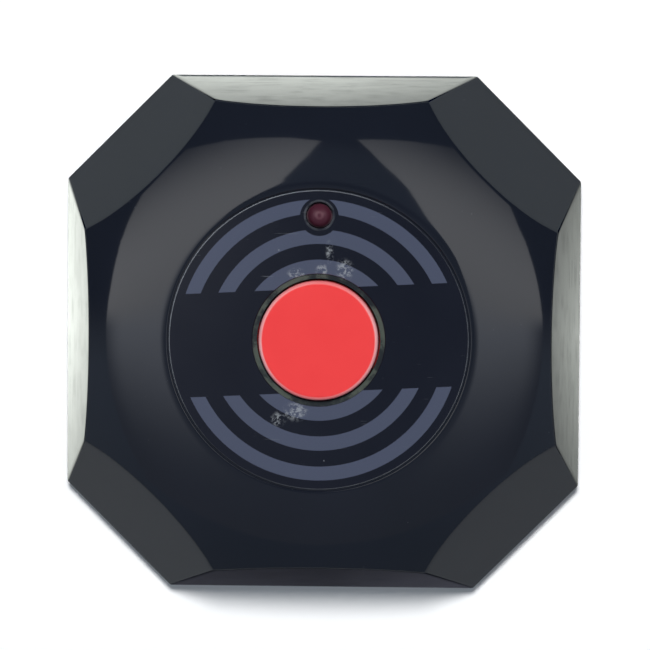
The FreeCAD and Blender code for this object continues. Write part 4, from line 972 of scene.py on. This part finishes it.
# %% Families of finish
def moulded(dark, light, roughness, grain_size=7.0):
    """Plastic with cloudy colour and the fine grain of a mould."""
    def body(shader):
        spot = shader.place()
        grain = shader.noise(spot, grain_size, 3.0, 0.6)
        cloud = shader.noise(spot, 0.3, 3.0)
        return {
            "Base Color": shader.blend(cloud, srgb(*dark), srgb(*light)),
            "Roughness": roughness + grain * 0.12,
            "IOR": 1.5,
            "Normal": shader.bump(grain, 0.1, 0.03),
        }
    return body


def rolled(dark, light, roughness, stretch=(0.4, 9, 9)):
    """Sheet metal or wire with the long fine lines that rolling or drawing leaves."""
    def body(shader):
        spot = shader.place()
        lines = shader.noise(shader.moved(spot, scale=stretch), 1.0, 4.0, 0.6)
        stain = shader.noise(spot, 0.5, 3.0)
        return {
            "Base Color": shader.blend(lines * 0.5 + stain * 0.5, srgb(*dark), srgb(*light)),
            "Metallic": 1.0,
            "Roughness": roughness + lines * 0.15 + stain * 0.06,
            "Normal": shader.bump(lines, 0.06, 0.02),
        }
    return body


def banded(dark, light, band, low, high, axis):
    """A printed sleeve with one band of another colour, and the slight ripple of shrunk film."""
    def body(shader):
        spot = shader.place()
        along = shader.axes(spot)[axis]
        ripple = shader.noise(spot, 1.4, 3.0)
        cloud = shader.noise(spot, 0.25, 2.0)
        sleeve = shader.blend(cloud, srgb(*dark), srgb(*light))
        return {
            "Base Color": shader.blend(along.within(low, high, 0.1), sleeve, srgb(*band)),
            "Roughness": 0.22 + ripple * 0.1,
            "Coat Weight": 0.2 + cloud * 0.2,
            "Normal": shader.bump(ripple, 0.08, 0.05),
        }
    return body

# %% [markdown]
# ## The circuit board
#
# The board is fibre laminate under a green mask. Copper tracks show through the mask as paler
# lines, the pads round the leads are bare and tinned, and the cut edge shows the fibre. A drawn
# layout would be a long list, so the tracks are lines on a grid, and noise picks where they run
# one way and where the other. The pads are listed, because they have to lie round the leads.

# %% The circuit board
# Each bare pad: x, y and radius.
PADS = ((-1.27, 14.2, 0.75), (1.27, 14.2, 0.75), (12.0, 8.0, 0.75), (17.0, 8.0, 0.75), (14.5, 5.5, 0.75),
        (6.33, 14.0, 0.55), (7.6, 14.0, 0.55), (8.87, 14.0, 0.55), (-18.0, 13.0, 0.75), (-16.0, 13.0, 0.75),
        (3.6, 20.8, 0.85), (13.8, 20.8, 0.85), (-6.0, -2.5, 0.8), (-6.0, 2.5, 0.8), (6.0, -2.5, 0.8),
        (6.0, 2.5, 0.8), (-15.6, -7.6, 1.1), (14.9, -7.6, 1.1))
TRACK_PITCH = 1.27


def board_laminate(shader):
    """Green mask over copper tracks, bare tinned pads round the leads, and fibre at the cut edge."""
    spot = shader.place()
    x, y, z = shader.axes(spot)
    weave = shader.waves(spot, 1.6) * shader.waves(spot, 1.6, direction="Y")
    region = shader.noise(shader.moved(spot, scale=(1, 1, 0)), 0.16, 0.0).above(0.5, 0.01)
    along_x = abs((y / TRACK_PITCH).repeat() - 0.5).below(0.14, 0.04) * region
    along_y = abs((x / TRACK_PITCH).repeat() - 0.5).below(0.14, 0.04) * (1 - region)
    tracks = along_x + along_y
    pads = 0
    for pad_x, pad_y, radius in PADS:
        pads = shader.reach(x - pad_x, y - pad_y).below(radius, 0.05) + pads
    edge = z.within(board_low.z + 0.04, board_high.z - 0.04, 0.02)
    bare = pads.sum("MINIMUM", 1.0) * (1 - edge)
    mask = shader.blend(weave * 0.4, srgb(18, 84, 46), srgb(26, 104, 58))
    covered = shader.blend(tracks * 0.7, mask, srgb(42, 132, 74))
    tinned = shader.blend(bare, covered, srgb(206, 206, 204))
    fibre = shader.blend(weave, srgb(150, 142, 96), srgb(184, 174, 124))
    return {
        "Base Color": shader.blend(edge, tinned, fibre),
        "Metallic": bare * 0.9,
        "Roughness": 0.32 + edge * 0.4 - bare * 0.08,
        "Normal": shader.bump(tracks * 0.5 + bare * 0.6 + weave * 0.05, 0.3, 0.05),
    }

# %% [markdown]
# ## Capacitor, chip and ceramics
#
# The capacitor wears a dark sleeve with a pale stripe of minus signs, and its bare top is scored
# with a cross. An image texture could hold the stripe, but a limit on one coordinate and a repeat
# along another draw it just as well, and sharper. The chip is matt resin. The small ceramics are
# coloured above and bright with solder below, so their finish needs only a height.

# %% Capacitor, chip and ceramics
CAN_X, CAN_Y = -17.0, 13.0
CAN_TOP, CAN_BARE = 10.7, 2.05
STRIPE_SIDE, STRIPE_PITCH = -1.9, 1.6


def capped_sleeve(shader):
    """The capacitor: a dark sleeve with a pale minus stripe, and a bare scored top."""
    spot = shader.place()
    x, y, z = shader.axes(spot)
    side, across = x - CAN_X, y - CAN_Y
    ripple = shader.noise(spot, 1.6, 2.0)
    stripe = side.below(STRIPE_SIDE, 0.1)
    dashes = abs((z / STRIPE_PITCH).repeat() - 0.5).below(0.3, 0.04) * abs(across).below(0.25, 0.05)
    sleeve = shader.blend(stripe * (1 - dashes), srgb(24, 28, 58), srgb(196, 198, 206))
    top = z.above(CAN_TOP, 0.05) * shader.reach(side, across).below(CAN_BARE, 0.1)
    score = abs(side).below(0.1, 0.05) + abs(across).below(0.1, 0.05)
    return {
        "Base Color": shader.blend(top, sleeve, srgb(190, 192, 196)),
        "Metallic": top * 0.95,
        "Roughness": 0.26 + ripple * 0.12,
        "Normal": shader.bump(ripple * 0.2 - score * top, 0.25, 0.08),
    }


def chip_resin(shader):
    """Matt moulding compound with fine filler."""
    spot = shader.place()
    grain = shader.noise(spot, 16.0, 3.0, 0.7)
    cloud = shader.noise(spot, 0.6, 2.0)
    return {
        "Base Color": shader.blend(cloud, srgb(28, 28, 30), srgb(42, 42, 44)),
        "Roughness": 0.5 + grain * 0.2,
        "Normal": shader.bump(grain, 0.15, 0.02),
    }


def soldered_chips(top_colour, solder_colour, solder_top):
    """Small ceramics: coloured on top, bright with solder below a certain height."""
    def body(shader):
        spot = shader.place()
        grain = shader.noise(spot, 8.0, 3.0, 0.6)
        top = shader.axes(spot)[2].above(solder_top, 0.05)
        return {
            "Base Color": shader.blend(top * (0.7 + grain * 0.3), srgb(*solder_colour), srgb(*top_colour)),
            "Metallic": 0.25 * (1 - top),
            "Roughness": 0.35 + grain * 0.2,
            "Normal": shader.bump(grain, 0.08, 0.02),
        }
    return body

# %% Dress the inner parts
# Each finish: its name, what makes it, and the pieces that wear it.
INNER_FINISHES = (
    ("nylon_spacer", moulded((206, 204, 194), (226, 224, 214), 0.4), ("led_spacer",)),
    ("tinned_wire", rolled((176, 178, 182), (214, 214, 214), 0.2, (9, 9, 0.5)),
     ("led_leads", "chip_legs", "resonator_leads", "transistor_legs", "capacitor_leads")),
    ("board_laminate", board_laminate, ("circuit_board",)),
    ("switch_black", moulded((20, 20, 22), (32, 32, 34), 0.42), ("switch_base",)),
    ("switch_white", moulded((198, 198, 192), (220, 220, 214), 0.36), ("switch_plunger",)),
    ("switch_sheet", rolled((168, 170, 174), (204, 206, 208), 0.24), ("switch_cover",)),
    ("silvered_legs", rolled((186, 182, 172), (222, 218, 206), 0.2), ("switch_terminals",)),
    ("battery_sleeve", banded((20, 44, 96), (28, 58, 118), (206, 170, 70), 6.5, 12.4, 0), ("battery_can",)),
    ("battery_pole", rolled((180, 178, 172), (216, 214, 206), 0.22), ("battery_pole",)),
    ("nickel_plate", rolled((182, 180, 174), (220, 218, 210), 0.24, (9, 0.6, 9)),
     ("contact_negative", "contact_positive")),
    ("chip_resin", chip_resin, ("encoder_chip", "transistor")),
    ("resonator_can", rolled((164, 164, 166), (206, 206, 204), 0.2, (3, 3, 3)), ("resonator_can",)),
    ("capacitor_sleeve", capped_sleeve, ("reservoir_capacitor",)),
    ("ceramic_tan", soldered_chips((168, 132, 92), (196, 192, 184), 3.9), ("ceramic_capacitors",)),
    ("resistor_black", soldered_chips((28, 28, 32), (196, 196, 194), 4.2), ("resistors",)),
)

for name, body, parts in INNER_FINISHES:
    material = finish(name, body)
    for part in parts:
        wear(part, material)

# %% [markdown]
# ## The sprung dome
#
# Under the switch's plunger sits a thin steel dome. It is the one piece that changes its shape:
# when the key goes down, it is pressed flatter, until it snaps and makes contact. It is modelled
# anew as a turned skin, with a mesh of its own.

# %% The sprung dome
DOME_RISE = 0.7
DOME_ARC_STEPS, DOME_STEPS = 18, 64


def dome_form(low, high):
    """A cap of a thin ball, between the heights of its box."""
    sheet = high.z - low.z - DOME_RISE
    ball = (high.x ** 2 + DOME_RISE ** 2) / (2 * DOME_RISE)
    outside = arc((0, high.z - ball), ball, 0, math.asin(high.x / ball), DOME_ARC_STEPS)
    inside = [(reach, height - sheet) for reach, height in reversed(outside)]
    form = bmesh.new()
    turned(form, outside + inside, (0, 0, 0), DOME_STEPS)
    return shaded_mesh("sprung_dome", form)


snap_steel = finish("snap_steel", rolled((150, 152, 158), (196, 198, 202), 0.18, (5, 5, 1)))
dome_low, dome_high = low_high("switch_dome")
sprung_dome = add_piece("sprung_dome", dome_form(dome_low, dome_high), snap_steel,
                        "switch_dome")
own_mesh(sprung_dome)

# %% [markdown]
# ## The studio
#
# A glossy black case shows its surroundings more than itself. Lamps alone would leave it black
# with a few hard spots, so the studio is built from things to mirror: a table, a world, two
# softboxes and four cards. One lamp gives the plain light level. Three helpers come first: for an
# object of the stage, for a flat panel, and for a material that is a whole surface.

# %% Stage helpers
def stage_object(name, mesh, material):
    """Something that lights or carries the button and is no part of it."""
    thing = bpy.data.objects.new(name, mesh)
    thing.data.materials.append(material)
    bpy.context.scene.collection.objects.link(thing)
    thing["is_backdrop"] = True
    print("stage object", name)
    return thing


def flat_panel(name, corners):
    """One flat face through some corners, in millimetres, facing the side from which they turn left."""
    mesh = bpy.data.meshes.new(name)
    panel = bmesh.new()
    panel.faces.new([panel.verts.new(Vector(corner) * MM) for corner in corners])
    panel.to_mesh(mesh)
    panel.free()
    return mesh


def stage_material(name, body):
    """A material made by a function that returns the whole surface."""
    material = bpy.data.materials.new(name)
    material.use_nodes = True
    shader = Shader(material.node_tree)
    shader.add("ShaderNodeOutputMaterial", None, {"Surface": body(shader)})
    return material

# %% [markdown]
# ## The table
#
# The button lies on a white table, which has to show the case's shadow and still be pure white
# further out. More light would do that, but it would wash out the case too. So the table is white
# paint near the case and turns into plain white light around it. The polished case would mirror
# that as a bright band, so any ray that doesn't come from the camera meets a greyer table.

# %% The table
TABLE_HALF = 3000.0
TABLE_GLOW = 0.03
PURE_WHITE = (1.0, 1.0, 1.0, 1.0)
FAR_FROM, FAR_SOFT = 90.0, 80.0
MIRRORED_BACK = (0.465, 0.50, 0.50, 1.0)
MIRRORED_FRONT = (0.38, 0.395, 0.405, 1.0)


def white_table(shader):
    """White as it is seen, with the case's shadow; plain white far off; greyer where it is mirrored."""
    x, y, _ = shader.axes(shader.place())
    seen = shader.add("ShaderNodeLightPath")["Is Camera Ray"]
    bright = shader.add("ShaderNodeBsdfDiffuse", None, {"Color": PURE_WHITE})["BSDF"]
    # Painted shade: in reflections the table is darker in front of the case, where the lamp behind throws
    # its shade.
    mirrored = shader.blend(y.above(0.0, 60.0), MIRRORED_FRONT, MIRRORED_BACK)
    plain = shader.add("ShaderNodeBsdfDiffuse", None, {"Color": mirrored})["BSDF"]
    glow = shader.add("ShaderNodeEmission", None, {"Strength": TABLE_GLOW})["Emission"]
    near = shader.add("ShaderNodeAddShader", None, {0: bright, 1: glow})[0]
    far = shader.add("ShaderNodeEmission", None, {"Strength": 1.0})["Emission"]
    distance = shader.reach(x, y).above(FAR_FROM, FAR_SOFT)
    shown = shader.add("ShaderNodeMixShader", None, {0: distance, 1: near, 2: far})[0]
    return shader.add("ShaderNodeMixShader", None, {0: seen, 1: plain, 2: shown})[0]


table_corners = [(x * TABLE_HALF, y * TABLE_HALF, 0) for x, y in ((-1, -1), (1, -1), (1, 1), (-1, 1))]
stage_object("table", flat_panel("table", table_corners), stage_material("table", white_table))

# %% [markdown]
# ## The world
#
# The world is white to the camera and dim in reflections, or the black plastic would look grey. It
# is a little lighter in front, most of all to either side there, and in an arc high up behind,
# which gives the dome its soft sheen. A panorama could be mirrored instead, but a few soft steps on
# the direction are enough, and each can be set by itself.

# %% The world
DIM_LEVEL, FRONT_LEVEL, OVERHEAD_LEVEL, SIDE_LEVEL = 0.06, 0.155, 0.15, 0.24
DIM_BACK, DIM_FRONT = (0.93, 0.96, 1.0, 1.0), (0.74, 0.86, 1.0, 1.0)


def make_world():
    """White for the camera. In reflections: dim behind and low down, lighter and bluer in front."""
    world = bpy.data.worlds.new("studio")
    bpy.context.scene.world = world
    world.use_nodes = True
    shader = Shader(world.node_tree)
    x, y, z = shader.axes(shader.add("ShaderNodeTexCoord")["Generated"])
    level = (x * x + y * y + 0.0001) ** 0.5
    front = y.below(-0.05, 0.3)
    sides = (abs(x) / level) ** 3 * front
    overhead = z.above(0.82, 0.12) * z.below(0.985, 0.03) * (1 - front)
    strength = DIM_LEVEL + front * FRONT_LEVEL + overhead * OVERHEAD_LEVEL + sides * SIDE_LEVEL
    colour = shader.blend(front + overhead, DIM_BACK, DIM_FRONT)
    dim = shader.add("ShaderNodeBackground", None, {"Color": colour, "Strength": strength})[0]
    white = shader.add("ShaderNodeBackground", None, {"Color": PURE_WHITE, "Strength": 1.0})[0]
    rays = shader.add("ShaderNodeLightPath")
    seen = rays["Is Camera Ray"] + rays["Is Transmission Ray"]
    both = shader.add("ShaderNodeMixShader", None, {0: seen, 1: dim, 2: white})[0]
    shader.add("ShaderNodeOutputWorld", None, {"Surface": both})
    print("world with", len(world.node_tree.nodes), "nodes")


make_world()

# %% [markdown]
# ## The softboxes
#
# Two big softboxes hang left and right, and the dome mirrors them as two broad patches with a dark
# gap between. An area lamp could only be a rectangle or an ellipse, so each softbox is a flat face
# that glows: its outline is the outline of its patch. It is brightest across one line and fades
# on both sides of it as a bell curve does, which makes the patch fade too. The softboxes are hidden
# from the camera.

# %% Softboxes
PANEL_HEIGHT = 400.0
HOT_Y = 90.0
FADE_BACK, FADE_FRONT = 330.0, 225.0
# Where the light to either side begins and where it ends, each with the width of its step.
SIDE_NEAR, SIDE_FAR = (90.0, 100.0), (500.0, 260.0)
SOFTBOX_PEAK, SOFTBOX_BASE = 2.0, 0.26
RIGHTWARD_LOSS = 0.00015
FRONT_TINT = (0.88, 0.92, 1.0, 1.0)
LEFT_BOX = ((-17, 326), (-459, 550), (-600, 560), (-580, 300), (-545, 80), (-557, -500), (0, -500),
            (0, -70), (-50, 20), (-54, 150))
RIGHT_BOX = ((54, 352), (98, 165), (96, 40), (0, -70), (0, -500), (600, -500), (580, 110),
             (550, 290), (570, 385), (409, 562))


def softbox_glow(shader):
    """Brightest across one line, fading behind and before it, and a little to the right; bluer in front."""
    x, y, _ = shader.axes(shader.place())
    behind = y.above(HOT_Y, 1.0)
    fade = FADE_FRONT + behind * (FADE_BACK - FADE_FRONT)
    offset = (y - HOT_Y) / fade
    bell = shader.value(math.e, "POWER", -1 * (offset * offset))
    ahead = y.below(0.0, 60.0)
    sideways = (abs(x) / (x * x + y * y + 1.0) ** 0.5) ** 3
    side = sideways * abs(x).above(*SIDE_NEAR) * abs(x).below(*SIDE_FAR)
    strength = bell * SOFTBOX_PEAK * (1 - ahead + ahead * side) + ahead * SOFTBOX_BASE * (1 - bell * side)
    strength = strength * (1 - x * RIGHTWARD_LOSS)
    tint = shader.blend(ahead, PURE_WHITE, FRONT_TINT)
    return shader.add("ShaderNodeEmission", None, {"Color": tint, "Strength": strength})["Emission"]


def only_mirrored(thing):
    """Let a stage object show in reflections and nowhere else."""
    thing.visible_camera = False
    thing.visible_diffuse = False
    thing.visible_shadow = False


softbox_material = stage_material("softbox", softbox_glow)
for name, corners in (("softbox_left", LEFT_BOX), ("softbox_right", RIGHT_BOX)):
    mesh = flat_panel(name, [(x, y, PANEL_HEIGHT) for x, y in corners])
    only_mirrored(stage_object(name, mesh, softbox_material))

# %% [markdown]
# ## Cards beside the case
#
# Seen from above, a steep side facet mirrors what lies on the table right beside it. So a card lies
# along each of the four sides: white ones left and behind, a dimmer one right, and a nearly black
# one in front. One lamp for each facet would light the whole case, but a card shows in its own
# facet only. Its light falls off away from the case, and fine streaks along it break up the gloss.

# %% Cards beside the case
CARD_LIFT = 0.1
CARD_WIDE = 16.0
CARD_HALF, CARD_FLARE = 19.0, 3.0
NEAR_LEVEL, FALL_OFF = 1.2, 1.9
STREAK_DEPTH, DASH_DEPTH = 0.22, 0.2
WHITE, BLUISH = (0.95, 1.0, 0.93, 1.0), (0.78, 0.80, 1.0, 1.0)
# The nearly black front card is painted shade: it stands for the case's shadow on the table in front, which
# the front facet mirrors.
# Each card: its side, where it lies, its gap to the case, its colour, and its levels along it.
CARDS = (("left", 180, 0.3, WHITE, (2.9, 3.2, 1.6)), ("back", 90, 1.8, WHITE, (2.2, 3.3, 3.35)),
         ("right", 0, 0.3, WHITE, (0.7, 1.8, 0.8)), ("front", 270, 0.3, BLUISH, (0.12, 0.08, 0.17)))


def card_glow(colour, levels, turn):
    """Light that falls off away from the case, with its own level at either end and fine streaks."""
    first, middle, last = levels

    def body(shader):
        spot = shader.moved(shader.place(), turn=(0, 0, -turn))
        away, along, _ = shader.axes(spot)
        streaks = shader.noise(shader.moved(spot, scale=(2.2, 0.07, 1.0)), 1.0, 3.0)
        dashes = shader.noise(shader.moved(spot, scale=(7.0, 0.22, 1.0)), 1.0, 4.0, 0.6).above(0.56, 0.1)
        share = along / CARD_HALF
        towards_last = share.sum("MAXIMUM", 0.0) * (last - middle)
        towards_first = share.sum("MINIMUM", 0.0) * (first - middle)
        brightness = middle + towards_last - towards_first
        far = (away - HALF_CASE) / CARD_WIDE
        pattern = NEAR_LEVEL - far * FALL_OFF + (streaks - 0.5) * STREAK_DEPTH - dashes * DASH_DEPTH
        strength = pattern * brightness
        return shader.add("ShaderNodeEmission", None, {"Color": colour, "Strength": strength})["Emission"]
    return body


for side, degrees, gap, colour, levels in CARDS:
    turn = math.radians(degrees)
    spin = Matrix.Rotation(turn, 3, "Z")
    near, far = HALF_CASE + gap, HALF_CASE + CARD_WIDE
    corners = [spin @ Vector(corner) for corner in (
        (near, -CARD_HALF, CARD_LIFT), (far, -CARD_HALF - CARD_FLARE, CARD_LIFT),
        (far, CARD_HALF + CARD_FLARE, CARD_LIFT), (near, CARD_HALF, CARD_LIFT))]
    name = f"card_{side}"
    glow = stage_material(name, card_glow(colour, levels, turn))
    only_mirrored(stage_object(name, flat_panel(name, corners), glow))

# %% [markdown]
# ## The main lamp
#
# A round lamp, high up and behind, gives the plain light level and a soft shadow in front of the
# case. A sun lamp would do too, but it lights everything evenly, while a disc near by fades a
# little with distance, as a studio lamp does. The lamp is hidden from reflections, where it would
# show as a bright spot.

# %% The main lamp
MAIN_LAMP_SPOT = (20, 385, 915)
MAIN_LAMP_SIZE = 240
MAIN_LAMP_WATTS = 9.3

lamp_data = bpy.data.lights.new("main_lamp", "AREA")
lamp_data.shape = "DISK"
lamp_data.size = MAIN_LAMP_SIZE * MM
lamp_data.energy = MAIN_LAMP_WATTS
main_lamp = bpy.data.objects.new("main_lamp", lamp_data)
main_lamp.location = Vector(MAIN_LAMP_SPOT) * MM
main_lamp.rotation_euler = (-Vector(MAIN_LAMP_SPOT)).to_track_quat("-Z", "Y").to_euler()
bpy.context.scene.collection.objects.link(main_lamp)
main_lamp.visible_camera = False
main_lamp.visible_glossy = False
print("main lamp of", MAIN_LAMP_SIZE, "mm at", MAIN_LAMP_SPOT)

# %% [markdown]
# ## The last look at the sizes
#
# The pieces that were modelled here should not reach past the construction. So the box of the
# whole button is measured once more, and its far corner is printed, as the first one's was.

# %% Measure the sizes again
box_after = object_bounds()
print("box after, mm:", [round(edge / MM, 2) for edge in box_after[1]])
